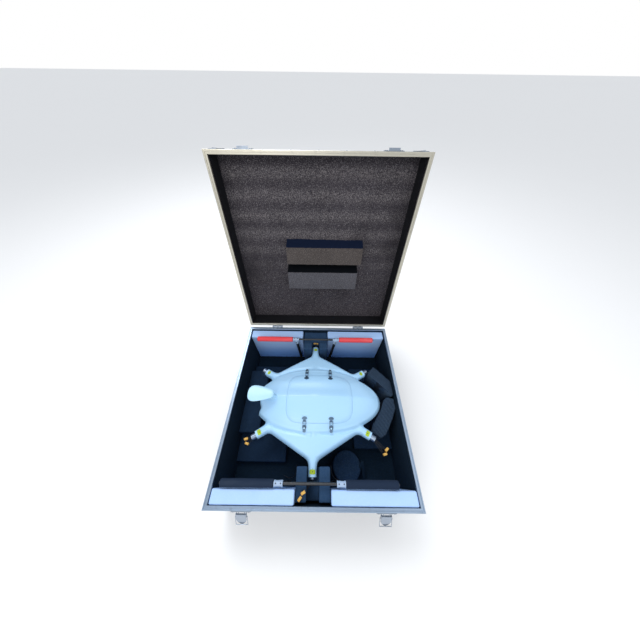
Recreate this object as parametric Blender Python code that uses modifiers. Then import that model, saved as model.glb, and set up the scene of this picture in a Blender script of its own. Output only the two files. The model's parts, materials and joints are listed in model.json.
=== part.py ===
"""Six-arm multirotor stowed in its open transport case.

Metres, +Z up, +X towards the aircraft's nose, +Y towards the case hinges.
The origin is the centre of the case's underside.
"""

import math

import bmesh
import bpy
from mathutils import Matrix, Vector

# Case
CASE_W, CASE_D, RIM_Z = 0.800, 0.806, 0.263
PLY, LINER = 0.009, 0.004
RIM_STRIP, RIM_DEEP, RIM_SKIRT, EDGE = 0.013, 0.010, 0.022, 0.0015
GAP = 0.0003
ROLL = 0.13  # turns each rod's facets away from its neighbours' edges
ROUND, FINE, WIRE = 16, 12, 10  # facets round tubes, pins and wires
LID_GAP, LID_H, LID_FOAM = 0.0008, 0.100, 0.0077
LID_OPEN = math.radians(102)
PIN_Y, PIN_Z = CASE_D / 2 + EDGE + 0.006, RIM_Z + 0.0004
HINGE_X, LATCH_X = 0.240, 0.262
FLOOR_Z = PLY + LINER
PAD_TOP = RIM_Z - 0.215
FACE_Y = -(CASE_D / 2 + EDGE)

# Case draw latch, drawn closed: pivot, bail pivot and bail length
DRAW_PIN = Vector((0, FACE_Y - 0.0085, RIM_Z - 0.018))
DRAW_BAIL = Vector((0, -0.0020, -0.010))
DRAW_LOOP = 0.0383
DRAW_OPEN, DRAW_FOLD = math.radians(32), math.radians(8.1)

# Aircraft
HUB = Vector((-0.010, 0, RIM_Z - 0.082))
STUB_R, STUB_END, STUB_BORE = 0.018, 0.305, 0.0138
COLLAR_IN = 0.2725  # where the hull's own shells stop and the collars begin
SOCKET_R, SOCKET_BORE, SOCKET_IN = 0.0135, 0.0110, 0.215
SOCKET_SHORT, SOCKET_LONG = 0.3125, 0.328  # the two on the Y axis stay inboard of the skid tubes
APOTHEM = 0.226
NOSE, TAIL, EGG_B, TAIL_CUT = 0.333, 0.303, 0.149, 0.270
RIDGE_H, CREASE_H, DECK_SLOPE = 0.093, 0.052, 0.243
BELLY_H, BELLY_A, BELLY_B = 0.098, 0.285, 0.150
SKIN, SEAT, HATCH_SKIN, EDGE_BOND = 0.006, 0.0036, 0.003, 0.014
HATCH_X0, HATCH_X1, HATCH_Y, HATCH_POWER, LEDGE = -0.130, 0.182, 0.114, 4.5, 0.010
HULL_LATCH_X = (-0.041, 0.080)

# Landing gear
TUBE_R, FLOAT_R, TEE_R, TEE_L, LEG_R, LEG_BOTTOM = 0.0055, 0.0150, 0.0110, 0.034, 0.0080, 0.052

PARTS = "hexacopter_case"


# ---------------------------------------------------------------- helpers
def clear_scene():
    for obj in list(bpy.data.objects):
        bpy.data.objects.remove(obj, do_unlink=True)
    for name in (PARTS, "cutters"):
        group = bpy.data.collections.new(name)
        bpy.context.scene.collection.children.link(group)
    bpy.data.collections["cutters"].hide_render = True


def paint(name, colour, rough, metal=0.0):
    mat = bpy.data.materials.new(name)
    mat.use_nodes = True
    shader = mat.node_tree.nodes["Principled BSDF"]
    shader.inputs["Base Color"].default_value = (*colour, 1)
    shader.inputs["Roughness"].default_value = rough
    shader.inputs["Metallic"].default_value = metal
    return mat


def place(name, mesh, parent=None, matrix=None):
    obj = bpy.data.objects.new(name, mesh)
    bpy.data.collections["cutters"].objects.link(obj)
    obj.display_type = "WIRE"
    obj.hide_render = True
    obj.matrix_basis = matrix or Matrix()
    obj.parent = parent
    return obj


def finish(obj, mat, smooth=True):
    """Turns a built shape into a part of the object."""
    bpy.data.collections["cutters"].objects.unlink(obj)
    bpy.data.collections[PARTS].objects.link(obj)
    obj.display_type = "TEXTURED"
    obj.hide_render = False
    obj.data.materials.clear()
    obj.data.materials.append(mat)
    if smooth:
        obj.data.shade_smooth()
        obj.data.set_sharp_from_angle(angle=math.radians(35))
    return obj


def cube(name, low, high, parent=None):
    low, high = Vector(low), Vector(high)
    bm = bmesh.new()
    bmesh.ops.create_cube(bm, size=1)
    bmesh.ops.scale(bm, vec=high - low, verts=bm.verts)
    mesh = bpy.data.meshes.new(name)
    bm.to_mesh(mesh)
    bm.free()
    return place(name, mesh, parent, Matrix.Translation((low + high) / 2))


def rod(name, start, end, radius, sides=24, parent=None, tip=None):
    start, end = Vector(start), Vector(end)
    bm = bmesh.new()
    bmesh.ops.create_cone(
        bm, cap_ends=True, segments=sides, radius1=radius, radius2=radius if tip is None else tip,
        depth=(end - start).length,
    )
    mesh = bpy.data.meshes.new(name)
    bm.to_mesh(mesh)
    bm.free()
    turn = (end - start).to_track_quat("Z", "Y").to_matrix().to_4x4() @ Matrix.Rotation(ROLL, 4, "Z")
    return place(name, mesh, parent, Matrix.Translation((start + end) / 2) @ turn)


def slab(name, outline, half, parent=None, matrix=None):
    """A flat outline in XY, thickened by half on each side of its plane."""
    curve = bpy.data.curves.new(name, "CURVE")
    curve.dimensions, curve.fill_mode, curve.extrude = "2D", "BOTH", half
    line = curve.splines.new("POLY")
    line.points.add(len(outline) - 1)
    for point, (x, y) in zip(line.points, outline):
        point.co = (x, y, 0, 1)
    line.use_cyclic_u = True
    source = bpy.data.objects.new(name, curve)
    bpy.context.scene.collection.objects.link(source)
    graph = bpy.context.evaluated_depsgraph_get()
    mesh = bpy.data.meshes.new_from_object(source.evaluated_get(graph))
    bpy.data.objects.remove(source)
    bm = bmesh.new()
    bm.from_mesh(mesh)
    bmesh.ops.remove_doubles(bm, verts=bm.verts, dist=1e-6)
    bmesh.ops.recalc_face_normals(bm, faces=bm.faces)
    bm.to_mesh(mesh)
    bm.free()
    return place(name, mesh, parent, matrix)


def combine(obj, operation, tools):
    for tool in tools:
        step = obj.modifiers.new(tool.name, "BOOLEAN")
        step.operation, step.object, step.solver = operation, tool, "EXACT"
    return obj


def cut(obj, *tools):
    return combine(obj, "DIFFERENCE", tools)


def join(obj, *tools):
    return combine(obj, "UNION", tools)


def keep(obj, *tools):
    return combine(obj, "INTERSECT", tools)


def bevel(obj, width, segments=2):
    step = obj.modifiers.new("bevel", "BEVEL")
    step.width, step.segments, step.limit_method = width, segments, "ANGLE"
    return obj


def pivot(name, where, turn=None, parent=None):
    empty = bpy.data.objects.new(name, None)
    bpy.data.collections[PARTS].objects.link(empty)
    empty.parent = parent
    empty.matrix_basis = Matrix.Translation(where) @ (turn or Matrix())
    return empty


def shifted(low, high, origin):
    return Vector(low) - origin, Vector(high) - origin


# ---------------------------------------------------------------- case
def box_ring(name, x, y, low, high, wall, parent=None, origin=Vector()):
    """An open frame of four walls, x and y being its outer half sizes."""
    body = cube(name, *shifted((-x, -y, low), (x, y, high), origin), parent)
    inside = shifted((wall - x, wall - y, low - 0.01), (x - wall, y - wall, high + 0.01), origin)
    return cut(body, cube(name + "_inside", *inside, parent))


def rim(name, face, up, parent=None, origin=Vector()):
    """Aluminium edge channel on the mouth of the tray (up 1) or of the lid (up -1)."""
    x, y = CASE_W / 2, CASE_D / 2
    ends = sorted((face, face - up * RIM_SKIRT))
    body = box_ring(name, x + EDGE, y + EDGE, *ends, RIM_STRIP + EDGE, parent, origin)
    recess = sorted((face - up * RIM_DEEP, face - up * (RIM_SKIRT + 0.01)))
    corner = (x + GAP, y + GAP)
    sides = shifted((-corner[0], -corner[1], recess[0]), (*corner, recess[1]), origin)
    return cut(body, cube(name + "_recess", *sides, parent))


def case_tray(mats):
    top = RIM_Z - RIM_DEEP - GAP
    x, y = CASE_W / 2, CASE_D / 2
    body = cube("case_tray", (-x, -y, 0), (x, y, top))
    cut(body, cube("tray_inside", (PLY - x, PLY - y, PLY), (x - PLY, y - PLY, top + 0.01)))
    finish(body, mats["laminate"], smooth=False)
    finish(rim("case_rim", RIM_Z, 1), mats["aluminium"], smooth=False)


def case_liner(mats):
    x, y, top = CASE_W / 2 - PLY - GAP, CASE_D / 2 - PLY - GAP, RIM_Z - RIM_DEEP - GAP
    body = cube("case_liner", (-x, -y, PLY + GAP), (x, y, top))
    wx, wy = x - LINER, y - LINER
    cut(body, cube("liner_inside", (-wx, -wy, FLOOR_Z), (wx, wy, top + 0.01)))
    join(
        body,
        cube("pad_left", (-wx - 0.001, -0.247, FLOOR_Z - 0.001), (-0.147, 0.250, PAD_TOP)),
        cube("pad_right", (0.196, -0.187, FLOOR_Z - 0.0015), (wx + 0.001, 0.240, PAD_TOP - 0.0005)),
        cube("block_left", (-wx - 0.0015, -0.130, FLOOR_Z - 0.002), (-0.284, 0.195, RIM_Z - 0.155)),
        rod("disc", (0.150, -0.262, FLOOR_Z - 0.002), (0.150, -0.262, RIM_Z - 0.200), 0.066, 32),
    )
    finish(body, mats["foam"], smooth=False)


def lid(mats, hinge):
    pin = Vector((0, PIN_Y, PIN_Z))
    face = RIM_Z + LID_GAP
    top = face + LID_H
    x, y = CASE_W / 2, CASE_D / 2
    shell = cube("lid_shell", *shifted((-x, -y, face + RIM_DEEP + GAP), (x, y, top), pin), hinge)
    inner = shifted((PLY - x, PLY - y, face), (x - PLY, y - PLY, top - PLY), pin)
    cut(shell, cube("lid_inside", *inner, hinge))
    finish(shell, mats["laminate"], smooth=False)
    finish(rim("lid_rim", face, -1, hinge, pin), mats["aluminium"], smooth=False)
    lx, ly, low, high = x - PLY - GAP, y - PLY - GAP, face + RIM_DEEP + GAP, top - PLY - GAP
    body = cube("lid_liner", *shifted((-lx, -ly, low), (lx, ly, high), pin), hinge)
    hollow = (LINER - lx, LINER - ly, low - 0.01), (lx - LINER, ly - LINER, high - LID_FOAM)
    cut(body, cube("lid_hollow", *shifted(*hollow, pin), hinge))
    for name, left, right, low_y, high_y in (
        ("lid_block_front", -0.152, 0.212, -0.0505, 0.0325), ("lid_block_rear", -0.155, 0.200, 0.0765, 0.1715),
    ):
        # the side towards the lid's free edge slopes back to the lining
        near, deep, slope = face + 0.040, high - 0.002, 0.028
        outline = [(low_y, near), (high_y, near), (high_y, deep), (low_y - slope, deep)]
        upright = Matrix(((0, 0, 1, (left + right) / 2), (1, 0, 0, -pin.y), (0, 1, 0, -pin.z), (0, 0, 0, 1)))
        join(body, slab(name, outline, (right - left) / 2, hinge, upright))
    finish(body, mats["lid_foam"], smooth=False)


def leaf(name, x, sign, knuckles, parent, origin, mats):
    """Hinge leaf with its knuckles; sign -1 hangs below the pin, +1 stands above it."""
    axis = Vector((x, PIN_Y, PIN_Z)) - origin
    back = -0.006 + GAP
    reach = sorted((sign * 0.0055, sign * 0.040))
    low, high = (-0.030, back, reach[0]), (0.030, back + 0.0022, reach[1])
    body = cube(name, Vector(low) + axis, Vector(high) + axis, parent)
    for i, (start, end) in enumerate(knuckles):
        step = Vector((1, 0, 0))
        tube = rod(f"{name}_knuckle{i}", axis + start * step, axis + end * step, 0.0048, FINE, parent)
        span = sorted((0.0, sign * 0.010))
        web_low, web_high = (start, back, span[0]), (end, 0.0, span[1])
        join(body, tube, cube(f"{name}_web{i}", axis + Vector(web_low), axis + Vector(web_high), parent))
    across = Vector((0.0302, 0, 0))
    if sign < 0:
        join(body, rod(name + "_pin", axis - across, axis + across, 0.0020, FINE, parent))
    else:
        cut(body, rod(name + "_bore", axis - across, axis + across, 0.00208, FINE, parent))
    finish(body, mats["steel"])


def hinges(mats, hinge):
    pin = Vector((0, PIN_Y, PIN_Z))
    outer = ((-0.0300, -0.0183), (-0.0059, 0.0059), (0.0183, 0.0300))
    inner = ((-0.0179, -0.0063), (0.0063, 0.0179))
    for side, x in (("left", -HINGE_X), ("right", HINGE_X)):
        leaf(f"hinge_{side}_case_leaf", x, -1, outer, None, Vector(), mats)
        leaf(f"hinge_{side}_lid_leaf", x, 1, inner, hinge, pin, mats)


def draw_latch(side, x, hinge, mats):
    """Surface draw latch: plate and ears on the case, pointed lever, wire bail, catch on the lid."""
    name = f"latch_{side}"
    at = DRAW_PIN + Vector((x, 0, 0))
    front = FACE_Y - GAP
    plate = cube(name + "_plate", (x - 0.035, front - 0.002, RIM_Z - 0.046), (x + 0.035, front, RIM_Z - 0.002))
    for sign in (-1, 1):
        inside, outside = sorted((sign * 0.0100, sign * 0.0120))
        low, high = (x + inside, at.y - 0.0024, at.z - 0.0027), (x + outside, front - 0.001, at.z + 0.0027)
        join(plate, cube(f"{name}_ear{sign}", low, high))
    join(plate, rod(name + "_pin", at - Vector((0.0200, 0, 0)), at + Vector((0.0200, 0, 0)), 0.0018, FINE))
    finish(plate, mats["steel"])

    swing = pivot(name + "_lever_pivot", at, Matrix.Rotation(-DRAW_OPEN, 4, "X"))
    outline = ((-0.0186, 0.004), (-0.0186, -0.026), (-0.0145, -0.036), (0.0, -0.052),
               (0.0145, -0.036), (0.0186, -0.026), (0.0186, 0.004))
    upright = Matrix.Translation((0, -0.0049, 0)) @ Matrix.Rotation(math.pi / 2, 4, "X")
    lever = slab(name + "_lever", outline, 0.0009, swing, upright)
    for sign in (-1, 1):
        inside, outside = sorted((sign * 0.0166, sign * 0.0186))
        cheek = cube(f"{name}_cheek{sign}", (inside, -0.0052, -0.016), (outside, 0.0035, 0.0036), swing)
        join(lever, cheek)
    ends = Vector((0.024, 0, 0))
    cut(lever, rod(name + "_lever_bore", -ends, ends, 0.0019, FINE, swing))
    cut(lever, rod(name + "_bail_bore", DRAW_BAIL - ends, DRAW_BAIL + ends, 0.0013, FINE, swing))
    finish(lever, mats["steel"])

    fold = pivot(name + "_bail_pivot", DRAW_BAIL, Matrix.Rotation(-DRAW_FOLD, 4, "X"), swing)
    wire, arm = 0.0012, 0.0216
    bail = rod(name + "_bail", (-arm - wire, 0, -DRAW_LOOP), (arm + wire, 0, -DRAW_LOOP), wire, WIRE, fold)
    for sign in (-1, 1):
        join(
            bail,
            rod(f"{name}_wire{sign}", (sign * arm, 0, -DRAW_LOOP), (sign * arm, 0, 0.0011), wire, WIRE, fold),
            rod(f"{name}_end{sign}", (sign * arm, 0, 0), (sign * 0.0169, 0, 0), 0.0010, WIRE, fold),
        )
    finish(bail, mats["steel"])

    pin = Vector((0, PIN_Y, PIN_Z))
    face = RIM_Z + LID_GAP
    low, high = (x - 0.0335, front - 0.002, face + 0.001), (x + 0.0335, front, face + 0.026)
    catch = cube(f"catch_{side}", *shifted(low, high, pin), hinge)
    shelf = (x - 0.0195, FACE_Y - 0.0098, RIM_Z + 0.0060), (x + 0.0195, front - 0.001, RIM_Z + 0.0076)
    lip = (x - 0.0195, FACE_Y - 0.0098, RIM_Z + 0.0065), (x + 0.0195, FACE_Y - 0.0086, RIM_Z + 0.0130)
    join(catch, cube(f"catch_{side}_shelf", *shifted(*shelf, pin), hinge))
    join(catch, cube(f"catch_{side}_lip", *shifted(*lip, pin), hinge))
    finish(catch, mats["steel"])


# ---------------------------------------------------------------- packing
def white_boxes(mats):
    sizes = {
        "box_rear_left": ((-0.3855, 0.3370, PAD_TOP - 0.035), (-0.0850, 0.3853, RIM_Z - 0.008)),
        "box_rear_right": ((0.0590, 0.3370, PAD_TOP - 0.035), (0.3835, 0.3853, RIM_Z - 0.008)),
        "box_front_left": ((-0.3855, -0.3890, PAD_TOP - 0.035), (-0.0740, -0.3415, RIM_Z - 0.002)),
        "box_front_right": ((0.0640, -0.3890, PAD_TOP - 0.035), (0.3860, -0.3415, RIM_Z - 0.002)),
    }
    for name, (low, high) in sizes.items():
        low = (low[0], low[1], FLOOR_Z + GAP)
        finish(bevel(cube(name, low, high), 0.005), mats["white_box"])


def cradles(mats):
    """Foam saddles that carry the front and rear arm stubs."""
    seat = HUB.z - STUB_R - GAP
    low = FLOOR_Z + GAP
    front = cube("cradle_front", (-0.0735, -0.3815, low), (0.0625, -0.2700, RIM_Z - 0.025))
    cut(front, cube("cradle_front_slot", (-0.0310, -0.3900, seat), (0.0180, -0.2500, RIM_Z)))
    finish(front, mats["foam"], smooth=False)
    rear = cube("cradle_rear", (-0.0790, 0.2700, low), (0.0560, 0.3850, RIM_Z - 0.020))
    cut(rear, cube("cradle_rear_slot", (-0.0310, 0.2500, seat), (0.0110, 0.3240, RIM_Z)))
    finish(rear, mats["foam"], smooth=False)


def wedges(mats):
    """Loose foam offcuts that stop the nose from moving."""
    shapes = {
        "wedge_rear": (
            ((0.2725, 0.1430), (0.3085, 0.1790), (0.3835, 0.0930), (0.3835, 0.0220), (0.3730, 0.0170)),
            RIM_Z - 0.030, math.radians(6),
        ),
        "wedge_front": (
            ((0.3370, 0.0050), (0.3520, 0.0165), (0.3835, 0.0060), (0.3845, -0.0390), (0.3640, -0.0870),
             (0.3340, -0.1420), (0.3107, -0.1552), (0.2680, -0.1270), (0.2790, -0.0968), (0.3170, -0.0422)),
            RIM_Z - 0.042, math.radians(28),
        ),
    }
    for name, (outline, top, lean) in shapes.items():
        base = PAD_TOP + GAP
        half = (top - base) / 2 + 0.03
        body = slab(name, outline, half, None, Matrix.Translation((0, 0, base + half)))
        turn = Matrix.Rotation(math.radians(-38 if name == "wedge_rear" else 28), 4, "Z")
        above = cube(name + "_top", (-0.3, -0.3, 0), (0.3, 0.3, 0.2))
        above.matrix_basis = (
            Matrix.Translation((0.355, 0.02, top)) @ turn @ Matrix.Rotation(-lean, 4, "Y")
            @ Matrix.Translation((0, 0, 0.1))
        )
        finish(cut(body, above), mats["wedge_foam"], smooth=False)


# ---------------------------------------------------------------- aircraft skin
def blend_min(a, b, width):
    """Smooth minimum of two distances."""
    mix = max(width - abs(a - b), 0) / width
    return min(a, b) - mix * mix * width / 4


def egg(x, y, nose=NOSE, tail=TAIL, half=EGG_B):
    """Radial measure of the body's egg-shaped plan: 1 on its outline."""
    return math.hypot(x / (nose if x > 0 else tail), y / half)


def stub_axes():
    return [math.radians(30 + 60 * k) for k in range(6)]


def outline_distance(x, y, shrink=0.0):
    """Roughly the distance outside the hull's plan outline; negative inside.

    The inner outline, shrunk by a margin, leaves out the roots of the arm stubs.
    """
    radius = math.hypot(x, y)
    flats = max(x * math.cos(a + math.pi / 6) + y * math.sin(a + math.pi / 6) for a in stub_axes())
    q = egg(x, y)
    body = radius * (1 - 1 / q) if q > 1e-6 else -EGG_B
    notch = 0.010 * math.exp(-(((abs(y) - 0.040) / 0.012) ** 2))
    body = max(body, -x - TAIL_CUT + notch)
    edge = blend_min(flats - APOTHEM, body, 0.012)
    if shrink:
        return edge + shrink
    for a in stub_axes():
        along, across = x * math.cos(a) + y * math.sin(a), -x * math.sin(a) + y * math.cos(a)
        root = max(abs(across) - 0.0185, along - 0.270, -along)
        edge = blend_min(edge, root, 0.016)
    return edge


def outline_radius(angle, shrink=0.0):
    """Where a ray from the hub leaves the plan outline."""
    low, high = 0.10, 0.40
    for _ in range(26):
        middle = (low + high) / 2
        inside = outline_distance(middle * math.cos(angle), middle * math.sin(angle), shrink) < 0
        low, high = (middle, high) if inside else (low, middle)
    return low


def crease_radius(angle):
    return 1 / egg(math.cos(angle), math.sin(angle))


def rounding(inset, width):
    """Quarter-round from the outline (0) to full height (1)."""
    t = 1 - min(max(inset / width, 0), 1)
    return math.sqrt(max(1 - t * t, 0))


def deck_height(x, y):
    return max(CREASE_H - DECK_SLOPE * (math.hypot(x, y) - EGG_B), STUB_R)


def dome_height(x, y):
    """Roof-ridged dome over the egg, falling to the deck at its outline."""
    length = NOSE if x > 0 else TAIL + 0.02
    ridge = RIDGE_H * (1 - min(abs(x) / length, 1) ** 2.6) ** 0.55
    half = EGG_B * math.sqrt(max(1 - (x / (NOSE if x > 0 else TAIL)) ** 2, 1e-4))
    edge = min(deck_height(x, half), ridge)
    v = abs(y) / half
    return ridge - (ridge - edge) * (0.55 * v + 0.45 * v**3)


def skin_top(x, y):
    return dome_height(x, y) if egg(x, y) < 1 else deck_height(x, y)


def skin_bottom(x, y):
    q = min(math.hypot(x / BELLY_A, y / BELLY_B), 1)
    return STUB_R + (BELLY_H - STUB_R) * (1 - q**3.2) ** 0.6


def loft(name, columns, top=None, bottom=None):
    """Skin through neighbouring columns of points round the hub; without poles each column closes on itself."""
    bm = bmesh.new()
    rows = [[bm.verts.new(p) for p in column] for column in columns]
    ends = [bm.verts.new(p) if p else None for p in (top, bottom)]
    for now, after in zip(rows, rows[1:] + rows[:1]):
        last = len(now) - 1
        for i in range(last if top else last + 1):
            j = (i + 1) % len(now)
            bm.faces.new((now[i], now[j], after[j], after[i]))
        if top:
            bm.faces.new((ends[0], now[0], after[0]))
            bm.faces.new((now[last], ends[1], after[last]))
    bmesh.ops.recalc_face_normals(bm, faces=bm.faces)
    mesh = bpy.data.meshes.new(name)
    bm.to_mesh(mesh)
    bm.free()
    return place(name, mesh, None, Matrix.Translation(HUB))


def hatch_radius(angle):
    """Rounded-rectangle opening as a superellipse about the hub."""
    c, s = math.cos(angle), math.sin(angle)
    a = HATCH_X1 if c > 0 else HATCH_X0
    return (abs(c / a) ** HATCH_POWER + abs(s / HATCH_Y) ** HATCH_POWER) ** (-1 / HATCH_POWER)


def on_skin(radius, angle, height, inset=0.0, margin=0.0):
    """A point of the skin, rounded down to the parting plane at the outline."""
    x, y = radius * math.cos(angle), radius * math.sin(angle)
    full = max(height(x, y) - inset, 0.001) * rounding(-outline_distance(x, y, margin), STUB_R)
    return x, y, full


def spread(start, end, fractions):
    return [start + f * (end - start) for f in fractions]


def upper_column(angle):
    """Section of the upper skin: out along the top, back along the inside, up over the hatch seat."""
    edge, inner = outline_radius(angle), outline_radius(angle, EDGE_BOND)
    crease, hole = min(crease_radius(angle), edge * 0.94), hatch_radius(angle)
    outside = spread(hole, crease, (0, 0.5, 1)) + spread(crease, edge, (0.3, 0.6, 0.82, 0.95))
    points = [on_skin(r, angle, skin_top) for r in outside]
    parting = GAP / 2
    for r in (edge, inner):
        points.append((r * math.cos(angle), r * math.sin(angle), parting))
    mouth = hole - LEDGE
    back = spread(inner, min(crease, inner * 0.95), (0.12, 0.5, 1))
    back += spread(min(crease, inner * 0.95), mouth, (0.5, 1))
    points += [on_skin(r, angle, skin_top, SKIN, EDGE_BOND) for r in back]
    points += [on_skin(r, angle, skin_top, SEAT) for r in (mouth, hole)]
    return points


def lower_column(angle):
    edge, inner = outline_radius(angle), outline_radius(angle, EDGE_BOND)
    points = []
    for f in (0.35, 0.6, 0.78, 0.9, 0.97):
        x, y, z = on_skin(f * edge, angle, skin_bottom)
        points.append((x, y, -z))
    for r in (edge, inner):
        points.append((r * math.cos(angle), r * math.sin(angle), -GAP / 2))
    for f in (0.97, 0.85, 0.65, 0.4):
        x, y, z = on_skin(f * inner, angle, skin_bottom, SKIN, EDGE_BOND)
        points.append((x, y, -z))
    return points


def hatch_column(angle):
    edge = hatch_radius(angle) - 0.0005
    rings = (0.35 * edge, 0.7 * edge, edge - LEDGE, edge)
    points = [on_skin(r, angle, skin_top) for r in rings]
    return points + [on_skin(r, angle, skin_top, HATCH_SKIN) for r in rings[::-1]]


def hull_turns(offsets):
    angles = [a + math.radians(sign * d) for a in stub_axes() for d in offsets for sign in (-1, 1)]
    return sorted({round(a % (2 * math.pi), 7) for a in angles})


def stubs(name, radius, start, end, sides):
    rods = []
    for k, a in enumerate(stub_axes()):
        way = Vector((math.cos(a), math.sin(a), 0))
        rods.append(rod(f"{name}{k + 1}", HUB + start * way, HUB + end * way, radius, sides))
    return rods


def hull(mats):
    turns = hull_turns((0, 3.6, 7, 15, 23, 30))
    upper = loft("hull_upper", [upper_column(a) for a in turns])
    lower = loft("hull_lower", [lower_column(a) for a in turns], (0, 0, -skin_bottom(0, 0)),
                 (0, 0, SKIN - skin_bottom(0, 0)))
    for body, low, high in ((upper, GAP / 2, 0.05), (lower, -0.05, -GAP / 2)):
        half = [HUB + Vector((-0.4, -0.4, low)), HUB + Vector((0.4, 0.4, high))]
        for k, stub in enumerate(stubs(body.name + "_stub", STUB_R, 0.250, COLLAR_IN, 20)):
            join(body, keep(stub, cube(f"{body.name}_half{k}", *half)))
        for bore in stubs(body.name + "_bore", STUB_BORE, 0.205, COLLAR_IN + 0.01, 20):
            cut(body, bore)
        finish(body, mats["hull"])
    top = skin_top(0, 0)
    panel = loft("hatch", [hatch_column(a) for a in turns], (0, 0, top), (0, 0, top - HATCH_SKIN))
    for latch in hull_latches():
        for tool in strike(*latch):
            join(panel, tool)
    finish(panel, mats["hull"])


def sockets(mats):
    """Aluminium sleeves that the arms plug into, each with the moulded collar bonded round its middle."""
    for k, a in enumerate(stub_axes()):
        way = Vector((math.cos(a), math.sin(a), 0))
        out = SOCKET_SHORT if abs(way.x) < 0.1 else SOCKET_LONG
        body = rod(f"arm_socket_{k + 1}", HUB + SOCKET_IN * way, HUB + out * way, SOCKET_R, 24)
        join(body, rod(f"collar_{k + 1}", HUB + (COLLAR_IN + GAP) * way, HUB + STUB_END * way, STUB_R, 24))
        hole = rod(f"socket_bore_{k + 1}", HUB + (SOCKET_IN - 0.01) * way, HUB + (out + 0.01) * way,
                   SOCKET_BORE, 24)
        finish(cut(body, hole), mats["aluminium"])


def gps_pod(mats):
    """Flat aerial paddle held above the tail on a short root."""
    outline = []
    for step in range(9):
        a = math.radians(70 + 27.5 * step)
        outline.append((-0.268 + 0.037 * math.cos(a), 0.036 * math.sin(a)))
    outline += [(-0.214, -0.026), (-0.190, -0.012), (-0.186, 0.0), (-0.190, 0.012), (-0.214, 0.026)]
    lean = Matrix.Rotation(math.radians(3), 4, "Y") @ Matrix.Translation((0.200, 0, 0))
    at = Matrix.Translation(HUB + Vector((-0.200, 0, 0.120))) @ lean
    body = bevel(slab("gps_pod", outline, 0.005, None, at), 0.0025)
    join(body, rod("pod_root", HUB + Vector((-0.208, 0, 0.0812)), HUB + Vector((-0.214, 0, 0.121)), 0.014, 20,
                   tip=0.011))
    finish(body, mats["pod"])


def avionics(mats):
    floor = -BELLY_H + SKIN
    low, high = Vector((-0.105, -0.040, floor + 0.0075)), Vector((0.065, 0.040, floor + 0.070))
    finish(bevel(cube("battery_pack", HUB + low, HUB + high), 0.004), mats["battery"])
    low, high = Vector((-0.040, -0.025, high.z + GAP)), Vector((0.030, 0.025, high.z + 0.022))
    finish(bevel(cube("flight_controller", HUB + low, HUB + high), 0.002), mats["electronics"])


# ---------------------------------------------------------------- hull latches
def hull_latches():
    order = [(x, side) for side in (-1, 1) for x in HULL_LATCH_X]
    return [(k + 1, x, side) for k, (x, side) in enumerate(order)]


def latch_frame(x, side):
    """Local axes on the dome: +Y outboard down the slope, +Z off the skin, origin on the hatch line."""
    inner, outer = skin_top(x, 0.094), skin_top(x, 0.150)
    slope = math.atan2(inner - outer, 0.056)
    at = HUB + Vector((x, side * HATCH_Y, skin_top(x, HATCH_Y) + 0.0006))
    turn = Matrix.Rotation(0 if side > 0 else math.pi, 4, "Z") @ Matrix.Rotation(-slope, 4, "X")
    return Matrix.Translation(at) @ turn


LATCH_PIN = Vector((0, 0.0095, 0.0062))
BAIL_PIN = Vector((0, -0.0100, 0.0040))
CROSS = LATCH_PIN + Vector((0, -0.0018, 0.0029))


def placed(obj, frame):
    obj.matrix_basis = frame @ obj.matrix_basis
    return obj


def strike(k, x, side):
    """Fan-shaped keeper on the hatch, with the barrel the bail turns on."""
    frame = latch_frame(x, side)
    fan = [(-0.0052, -0.0075), (-0.0060, -0.0180)]
    fan += [(0.0100 * math.cos(a), -0.0200 + 0.0085 * math.sin(a))
            for a in (math.radians(195 + 30 * s) for s in range(6))]
    fan += [(0.0060, -0.0180), (0.0052, -0.0075)]
    plate = placed(slab(f"strike_{k}", fan, 0.0020, None, Matrix.Translation((0, 0, -0.0002))), frame)
    tube = placed(rod(f"strike_barrel_{k}", BAIL_PIN - Vector((0.0050, 0, 0)), BAIL_PIN + Vector((0.0050, 0, 0)),
                      0.0022, FINE), frame)
    foot = placed(cube(f"strike_foot_{k}", (-0.0043, -0.0116, -0.0010), (0.0043, -0.0084, 0.0040)), frame)
    pin = placed(rod(f"strike_pin_{k}", BAIL_PIN - Vector((0.0080, 0, 0)), BAIL_PIN + Vector((0.0080, 0, 0)),
                     0.0009, FINE), frame)
    return plate, foot, tube, pin


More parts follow.
